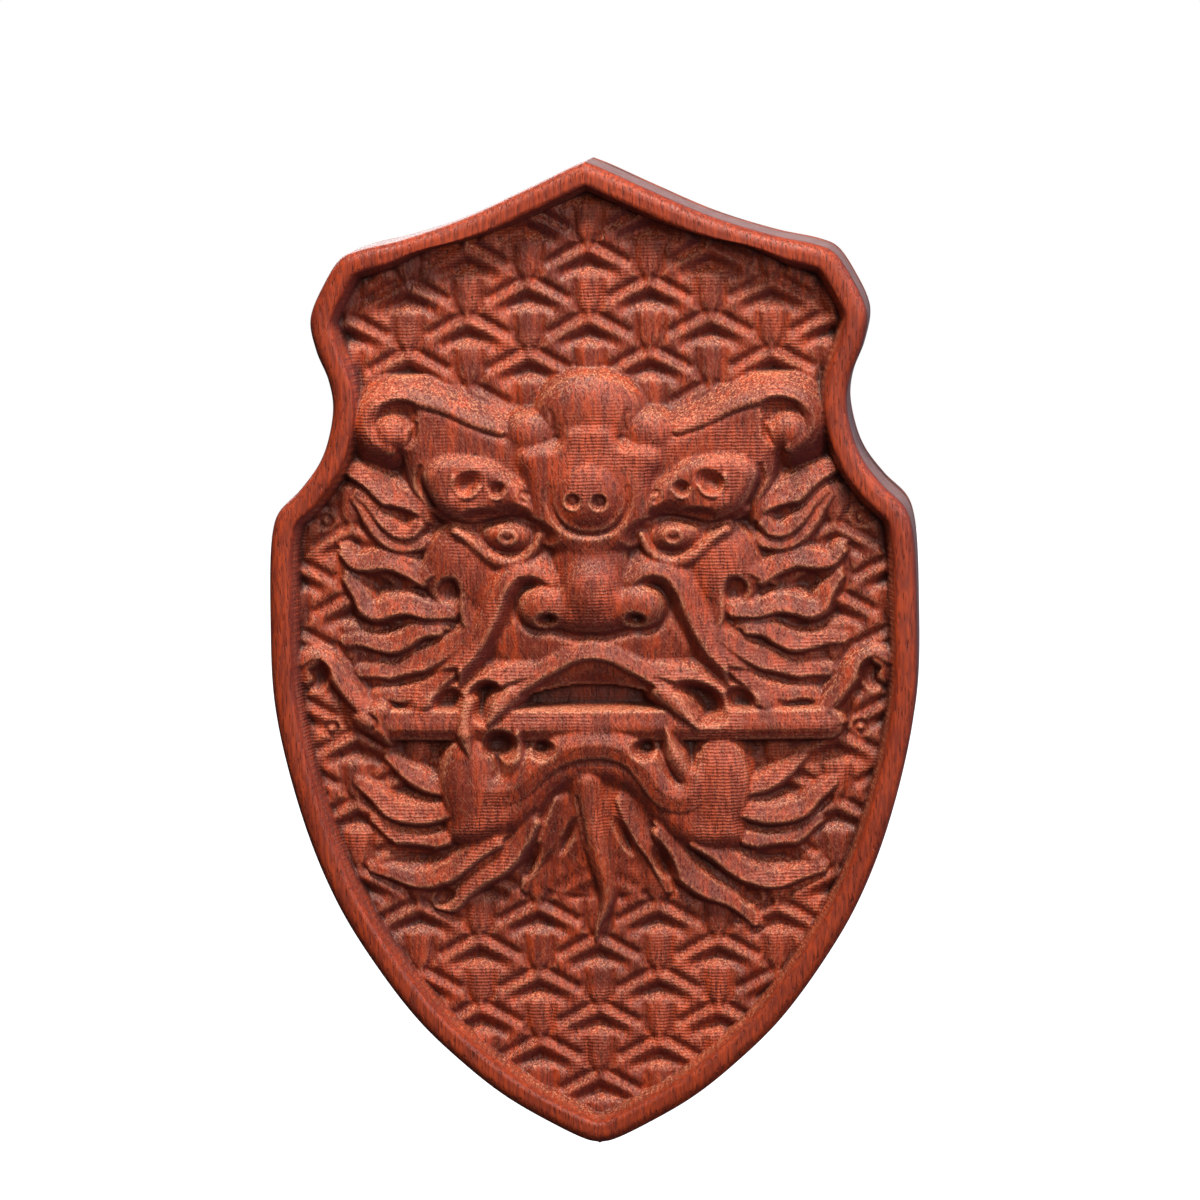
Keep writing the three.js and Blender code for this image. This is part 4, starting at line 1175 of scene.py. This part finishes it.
def wornMetal(name):
    metal = metals[name]
    material, tree = newMaterial(name)
    place = addNode(tree, "ShaderNodeTexCoord", output="Object")
    stains = addNode(tree, "ShaderNodeTexNoise", {}, {
        "Vector": place, "Scale": perMetre(metals["stainSize"]), "Detail": 5})
    thin = addNode(tree, "ShaderNodeMapping", {}, {
        "Vector": place, "Rotation": (0, 0.6, 0.3), "Scale": (1, 1, 0.06)})
    scratches = addNode(tree, "ShaderNodeTexNoise", {}, {
        "Vector": thin, "Scale": perMetre(metals["scratchWidth"]), "Detail": 2})
    share = addNode(tree, "ShaderNodeMapRange", {}, {
        "Value": stains, "From Min": 0.45, "From Max": 0.72, "To Max": metal["dulled"]})
    tone = addNode(tree, "ShaderNodeMix", {"data_type": "RGBA"},
                   {0: share, 6: linearColour(metal["clean"]), 7: linearColour(metal["dull"])}, 2)
    scuff = addNode(tree, "ShaderNodeMath", {"operation": "MULTIPLY"}, {0: stains, 1: scratches})
    rough = addNode(tree, "ShaderNodeMapRange", {}, {
        "Value": scuff, "From Min": 0.12, "From Max": 0.4,
        "To Min": metal["smooth"], "To Max": metal["scuffed"]})
    bump = addNode(tree, "ShaderNodeBump", {}, {
        "Height": scratches, "Strength": 0.25, "Distance": metals["bumpDepth"] * mm})
    finishMaterial(tree, addNode(tree, "ShaderNodeBsdfPrincipled", {}, {
        "Base Color": tone, "Roughness": rough, "Normal": bump, "Metallic": 1.0}))
    return material


# Pressed wool felt: matted fibres that scatter the light, a little paler where they stand up.
felt = {"deep": "2c1d16", "pale": "5b4334", "matSize": 0.5, "hairSize": 0.14, "bumpDepth": 0.2}


def pressedFelt():
    material, tree = newMaterial("pressedWoolFelt")
    place = addNode(tree, "ShaderNodeTexCoord", output="Object")
    mat = addNode(tree, "ShaderNodeTexNoise", {}, {
        "Vector": place, "Scale": perMetre(felt["matSize"]), "Detail": 5, "Distortion": 2.5})
    hairs = addNode(tree, "ShaderNodeTexNoise", {}, {
        "Vector": place, "Scale": perMetre(felt["hairSize"]), "Detail": 3, "Distortion": 4})
    share = addNode(tree, "ShaderNodeMapRange", {}, {"Value": hairs, "From Min": 0.35, "From Max": 0.65})
    tone = addNode(tree, "ShaderNodeMix", {"data_type": "RGBA"},
                   {0: share, 6: linearColour(felt["deep"]), 7: linearColour(felt["pale"])}, 2)
    height = addNode(tree, "ShaderNodeMath", {"operation": "ADD"}, {0: mat, 1: hairs})
    bump = addNode(tree, "ShaderNodeBump", {}, {
        "Height": height, "Strength": 0.9, "Distance": felt["bumpDepth"] * mm})
    finishMaterial(tree, addNode(tree, "ShaderNodeBsdfPrincipled", {}, {
        "Base Color": tone, "Roughness": 0.95, "Normal": bump, "Sheen Weight": 0.4}))
    return material


# Planed and waxed rosewood: straight grain with dark stripes and open pores under a dull wax.
boardWood = {
    "stripe": "4a1c12", "ground": "8a3c22", "pale": "a8563a", "pore": "220c07",
    "patterns": {         # width and length in mm, detail
        "stripes": (1.9, 45, 4),
        "streaks": (0.35, 9, 3),
        "pores": (0.14, 2.2, 1),
    },
    "bumpDepth": 0.12,
}


def waxedBoardWood():
    wood = boardWood
    material, tree = newMaterial("planedWaxedRosewood")
    place = addNode(tree, "ShaderNodeTexCoord", output="Object")
    drawn = {}
    for name, (width, length, detail) in wood["patterns"].items():
        along = addNode(tree, "ShaderNodeMapping", {"vector_type": "TEXTURE"},
                        {"Vector": place, "Scale": (1, 1, length / width)})
        drawn[name] = addNode(tree, "ShaderNodeTexNoise", {}, {
            "Vector": along, "Scale": perMetre(width * 2), "Detail": detail, "Distortion": 0.4})
    shares = {
        "ground": (drawn["stripes"], 0.38, 0.62, 0, 1),
        "pale": (drawn["streaks"], 0.5, 0.75, 0, 0.5),
        "pore": (drawn["pores"], 0.60, 0.70, 0, 0.7),
        "poreDepth": (drawn["pores"], 0.58, 0.70, 0, 1),
        "dullness": (drawn["streaks"], 0.3, 0.7, 0.5, 0.66),
    }
    for name, (value, low, high, first, last) in shares.items():
        shares[name] = addNode(tree, "ShaderNodeMapRange", {"interpolation_type": "SMOOTHSTEP"}, {
            "Value": value, "From Min": low, "From Max": high, "To Min": first, "To Max": last})
    tone = linearColour(wood["stripe"])
    for colour in ("ground", "pale", "pore"):
        tone = addNode(tree, "ShaderNodeMix", {"data_type": "RGBA"},
                       {0: shares[colour], 6: tone, 7: linearColour(wood[colour])}, 2)
    height = addNode(tree, "ShaderNodeMath", {"operation": "SUBTRACT"},
                     {0: drawn["streaks"], 1: shares["poreDepth"]})
    bump = addNode(tree, "ShaderNodeBump", {}, {
        "Height": height, "Strength": 0.5, "Distance": wood["bumpDepth"] * mm})
    finishMaterial(tree, addNode(tree, "ShaderNodeBsdfPrincipled", {}, {
        "Base Color": tone, "Roughness": shares["dullness"], "Normal": bump, "IOR": 1.5}))
    return material


# screws turned from bar; their holes in the board and the strap are wider by the clearance
screws = {
    "sides": 48,
    "pitch": 0.62,
    "threadDepth": 0.2,
    "armWidth": 0.52,     # of the cross recess
    "recess": 0.75,
    "headShare": 0.56,    # reach of the cross in a countersunk head
    "panReach": 1.15,     # reach of the cross in a pan head, in shank radii
    "boardShank": 1.15,
    "boardHeadDepth": 1.3,
    "hangerShank": 0.95,
    "clearance": 0.12,
}
# planed board behind the slab, with its back edge chamfered
board = {"chamfer": 0.6, "softened": 0.12, "everyRow": 2}


def roundHole(node, radius, start, end, sides):
    # a straight cutter on the axis of a screw
    profile = [(0, start), (radius, start), (radius, end), (0, end)]
    return addPiece("hole", *turned(profile, nodeCentre(node), sides))


def countersink(node, start, end):
    # a cutter with the shape of a countersunk screw and its clearance
    low, high = nodeBox(node)
    head = (high.x - low.x) / 2 + screws["clearance"]
    shank = screws["boardShank"] + screws["clearance"]
    neck = high.y - screws["boardHeadDepth"]
    profile = [(0, start), (shank, start), (shank, neck), (head, high.y), (head, end), (0, end)]
    return addPiece("hole", *turned(profile, nodeCentre(node), 64))


def backingBoard(material):
    low, high = nodeBox("backing_board")
    middleZ = (low.z + high.z) / 2
    foot, _, _ = slabOutline()
    keep = foot[:: board["everyRow"]]
    along = np.gradient(keep, axis=0)
    along /= np.hypot(along[:, 0], along[:, 1])[:, None]
    inset = keep + board["chamfer"] * np.stack([along[:, 1], -along[:, 0]], 1)
    inset[0], inset[-1] = (0, keep[0, 1] - board["chamfer"]), (0, keep[-1, 1] + board["chamfer"])
    inset[:, 0] = np.maximum(inset[:, 0], 0)
    shoulder = high.y - board["chamfer"]
    steps = ((keep, low.y), (keep, shoulder - board["softened"]),
             (keep * 0.5 + inset * 0.5, high.y - board["chamfer"] * 0.5), (inset, high.y))
    loops = []
    for line, y in steps:
        whole = np.concatenate([line, line[-2:0:-1] * (-1, 1)])
        loops.append([(x, y, z + middleZ) for x, z in whole])
    made = addPiece("backing_board_planed", *swept(loops, closed=False), material)
    cutters = [countersink(node, low.y - 1, high.y + 1) for node in nodesNamed("board_screw")]
    for node in nodesNamed("hanger_screw"):
        start = nodeBox(node)[0].y - screws["clearance"]
        cutters.append(roundHole(node, screws["hangerShank"] + screws["clearance"], start, high.y + 1, 32))
    cutWith(made, cutters)
    finishPiece(made, "plaque", "backing_board", sharp=25)


backingBoard(waxedBoardWood())
print("backing board made")


def crossCutter(centre, y, arm, deep):
    # two crossed bars that narrow towards the bottom of the recess
    cutters = []
    for halfX, halfZ in ((arm, screws["armWidth"] / 2), (screws["armWidth"] / 2, arm)):
        points = []
        for depth, share in ((0.3, 1.06), (-deep, 0.62)):
            points += [(centre[0] + sx * halfX * share, y + depth, centre[1] + sz * halfZ * share)
                       for sx, sz in ((-1, -1), (1, -1), (1, 1), (-1, 1))]
        faces = [(0, 1, 2, 3), (7, 6, 5, 4), (0, 4, 5, 1), (1, 5, 6, 2), (2, 6, 7, 3), (3, 7, 4, 0)]
        cutters.append(addPiece("cross", points, faces))
    return cutters


def threadedScrew(name, node, head, shank, arm, material):
    # head is a profile from the back face forwards; the shank below it carries the thread
    low, high = nodeBox(node)
    centre = nodeCentre(node)
    sides, pitch, depth = screws["sides"], screws["pitch"], screws["threadDepth"]
    turns = [2 * math.pi * k / sides for k in range(sides)]
    start = high.y - head[-1][1]
    length = start - low.y
    steps = int(length / pitch * 10)
    rings = []
    for i in range(steps + 1):
        y = low.y + length * i / steps
        taper = min(1.0, 0.12 + (y - low.y) / (1.5 * shank))
        plain = min(1, max(0, (start - y) / (1.2 * pitch)))
        ring = []
        for k, turn in enumerate(turns):
            phase = (y / pitch - k / sides) % 1
            ridge = max(0, 1 - abs(phase - 0.5) * 4)
            radius = taper * (shank - depth * (1 - ridge) * plain)
            ring.append((centre[0] + radius * math.cos(turn), y, centre[1] + radius * math.sin(turn)))
        rings.append(ring)
    for radius, down in head[::-1]:
        rings.append([(centre[0] + radius * math.cos(turn), high.y - down,
                       centre[1] + radius * math.sin(turn)) for turn in turns])
    made = addPiece(name, *swept(rings, closed=False), material)
    cutWith(made, crossCutter(centre, high.y, arm, screws["recess"]))
    finishPiece(made, "plaque", node, bevel=0.03, sharp=40)


def boardScrew(node, material):
    # countersunk head, flush with the back of the board
    low, high = nodeBox(node)
    radius, shank = (high.x - low.x) / 2, screws["boardShank"]
    head = [(radius - 0.06, 0), (radius, 0.06), (radius, 0.12), (shank, screws["boardHeadDepth"])]
    threadedScrew(node + "_brass", node, head, shank, radius * screws["headShare"], material)


def hangerScrew(node, material):
    # pan head that lies on the strap
    low, high = nodeBox(node)
    radius, shank = (high.x - low.x) / 2, screws["hangerShank"]
    head = [(radius * 0.45, 0), (radius * 0.72, 0.07), (radius * 0.9, 0.26), (radius, 0.55), (radius, 1.0),
            (shank, 1.0)]
    threadedScrew(node + "_nickel", node, head, shank, shank * screws["panReach"], material)


brass = wornMetal("lacqueredBrass")
nickel = wornMetal("nickelPlatedSteel")
for screwNode in nodesNamed("board_screw"):
    boardScrew(screwNode, brass)
for screwNode in nodesNamed("hanger_screw"):
    hangerScrew(screwNode, nickel)
print("screws made")

# a strip of sheet folded round the straight bar of a D-shaped ring of wire
hanger = {
    "sheet": 0.5,         # thickness of the strip, mm
    "slit": 0.05,         # left between its two layers
    "eyeClear": 0.15,     # between the wire and the strip round it
    "eyeSteps": 40,
    "corner": 2.0,
    "wire": 0.6,          # radius
    "wireSides": 24,
    "ringRadius": 5.1,
    "ringLeg": 2.4,
    "ringCorner": 0.9,
}


def strapSection():
    low, high = nodeBox("hanger_strap")
    inner = hanger["wire"] + hanger["eyeClear"]
    outer = inner + hanger["sheet"]
    axisY, axisZ = low.y + outer, high.z - outer
    back, seam, slit = low.y + 2 * hanger["sheet"], low.y + hanger["sheet"], hanger["slit"] / 2
    steps = hanger["eyeSteps"]

    def arc(radius, start, end):
        turns = [start + (end - start) * i / steps for i in range(steps + 1)]
        return [(axisY + radius * math.cos(turn), axisZ + radius * math.sin(turn)) for turn in turns]

    # angles are measured from +Y (away from the board) towards +Z
    outerEnd = -math.acos((back - axisY) / outer)
    seamBack, seamFront = (-math.acos(max(-1, (seam + side - axisY) / inner)) for side in (slit, -slit))
    outside = arc(outer, math.pi, outerEnd)
    inside = arc(inner, seamBack, seamFront + 2 * math.pi)
    line = [(low.y, low.z)] + outside + [(back, low.z), (seam + slit, low.z)]
    line += inside + [(seam - slit, low.z)]
    return line, low, high


def makeStrap(material):
    line, low, high = strapSection()
    ends = [[(x, y, z) for y, z in line] for x in (low.x, high.x)]
    made = addPiece("hanger_strap_folded", *swept(ends, closed=False), material)
    corner, half = hanger["corner"], high.x
    cutters = []
    for hand in (-1, 1):
        face = [(hand * (half - corner + corner * math.sin(t)), low.z + corner - corner * math.cos(t))
                for t in np.linspace(0, math.pi / 2, 11)]
        face += [(hand * (half + 1), low.z + corner),
                 (hand * (half + 1), low.z - 1),
                 (hand * (half - corner), low.z - 1)]
        sides = [[(x, y, z) for x, z in face] for y in (low.y - 1, high.y + 1)]
        cutters.append(addPiece("corner", *swept(sides, closed=False)))
    for node in nodesNamed("hanger_screw"):
        radius = screws["hangerShank"] + screws["clearance"]
        cutters.append(roundHole(node, radius, low.y - 1, high.y + 1, 48))
    cutWith(made, cutters)
    finishPiece(made, "plaque", "hanger_strap", bevel=0.05, sharp=35)


def makeRing(material):
    low, high = nodeBox("hanging_ring")
    radius, leg, corner, wire = (hanger[k] for k in ("ringRadius", "ringLeg", "ringCorner", "wire"))
    axisY, axisZ = (low.y + high.y) / 2, low.z + wire
    bar = radius - corner
    # the bar, then round: corner, leg, half circle, leg, corner
    line = [(bar * t, 0) for t in np.linspace(-1, 1, 24)]
    line += [(bar + corner * math.sin(t), corner - corner * math.cos(t))
             for t in np.linspace(0.1, math.pi / 2, 14)]
    line += [(radius, leg * t + corner * (1 - t)) for t in np.linspace(0.15, 0.9, 6)]
    line += [(radius * math.cos(t), leg + radius * math.sin(t)) for t in np.linspace(0, math.pi, 90)]
    line += [(-radius, corner * t + leg * (1 - t)) for t in np.linspace(0.15, 0.9, 6)]
    line += [(-bar - corner * math.cos(t), corner - corner * math.sin(t))
             for t in np.linspace(0, math.pi / 2 - 0.1, 14)]
    middle = np.array(line)
    along = np.roll(middle, -1, axis=0) - np.roll(middle, 1, axis=0)
    along /= np.hypot(*along.T)[:, None]
    turns = np.linspace(0, 2 * math.pi, hanger["wireSides"], endpoint=False)
    rings = []
    for (x, z), (ux, uz) in zip(middle, along):
        rings.append([(x + wire * math.cos(t) * uz, axisY + wire * math.sin(t),
                       axisZ + z - wire * math.cos(t) * ux) for t in turns])
    made = addPiece("hanging_ring_wire", *swept(rings), material)
    finishPiece(made, "ring", "hanging_ring", sharp=60)


makeStrap(nickel)
makeRing(nickel)
print("hanger made")

# punched discs of felt with loose hairs round their edge
pads = {
    "margin": 0.12,       # the disc stays this far inside its box, for the hairs and the wobble
    "sides": 96,
    "hairs": 420,
    "hairLength": 0.55,
    "hairWidth": 0.045,
    "wobble": 0.10,
    "roughFace": 0.03,
    "seed": 11,
}


def feltDisc(low, high, centre, radius, draw):
    # a soft edged disc whose side wobbles and whose free face is a little rough
    sides = ((0, 0), (0.05, 0.4), (0.08, 1.1), (0.04, 1.8))
    edge = ((-0.05, 0.75), (-0.25, 0.35), (-0.6, 0.12), (-1.1, 0.04))
    profile = [(0, low.y), (radius * 0.5, low.y)]
    profile += [(radius + out, low.y + up) for out, up in sides]
    profile += [(radius + out, high.y - down) for out, down in edge]
    profile += [(radius * share, high.y - 0.03) for share in (0.5, 0.25, 0)]
    points, faces = turned(profile, centre, pads["sides"])
    bumpy = []
    for x, y, z in points:
        onBack = y <= low.y + 0.05
        way = Vector((x - centre[0], 0, z - centre[1]))
        push = pads["wobble"] * (draw.random() - 0.5) + 0.06 * math.sin(5 * math.atan2(way.z, way.x) + y)
        if way.length > radius * 0.8 and not onBack:
            way = way.normalized() * push
            x, z = x + way.x, z + way.z
        rough = 0 if onBack else pads["roughFace"] * (draw.random() - 0.5)
        bumpy.append((x, min(y + rough, high.y - 0.01), z))
    return bumpy, faces


def feltPad(node, material, draw):
    low, high = nodeBox(node)
    centre = nodeCentre(node)
    radius = (high.x - low.x) / 2 - pads["margin"]
    points, faces = feltDisc(low, high, centre, radius, draw)
    for _ in range(pads["hairs"]):
        turn, up = draw.uniform(0, 2 * math.pi), draw.uniform(low.y + 0.15, high.y - 0.3)
        outward = np.array([math.cos(turn), 0, math.sin(turn)])
        across = np.array([-math.sin(turn), 0, math.cos(turn)])
        root = np.array([centre[0] + radius * math.cos(turn), up, centre[1] + radius * math.sin(turn)])
        way = outward * 0.45 + np.array([0, draw.uniform(-0.5, 0.5), 0])
        way += draw.uniform(-0.6, 0.6) * across
        way *= pads["hairLength"] * draw.uniform(0.4, 1.0)
        side = pads["hairWidth"] * across
        rise = pads["hairWidth"] * np.array([0, 1, 0])
        tip = root + way
        tip[1] = min(tip[1], high.y - 0.02)
        first = len(points)
        points += [tuple(root + side), tuple(root - side), tuple(root + rise), tuple(tip)]
        faces += [(first, first + 2, first + 1), (first, first + 1, first + 3),
                  (first + 1, first + 2, first + 3), (first + 2, first, first + 3)]
    made = addPiece(node + "_felt", points, faces, material)
    finishPiece(made, "plaque", node, sharp=80)


feltMaterial = pressedFelt()
padDraw = np.random.default_rng(pads["seed"])
for padNode in nodesNamed("felt_pad"):
    feltPad(padNode, feltMaterial, padDraw)
print("pads made")
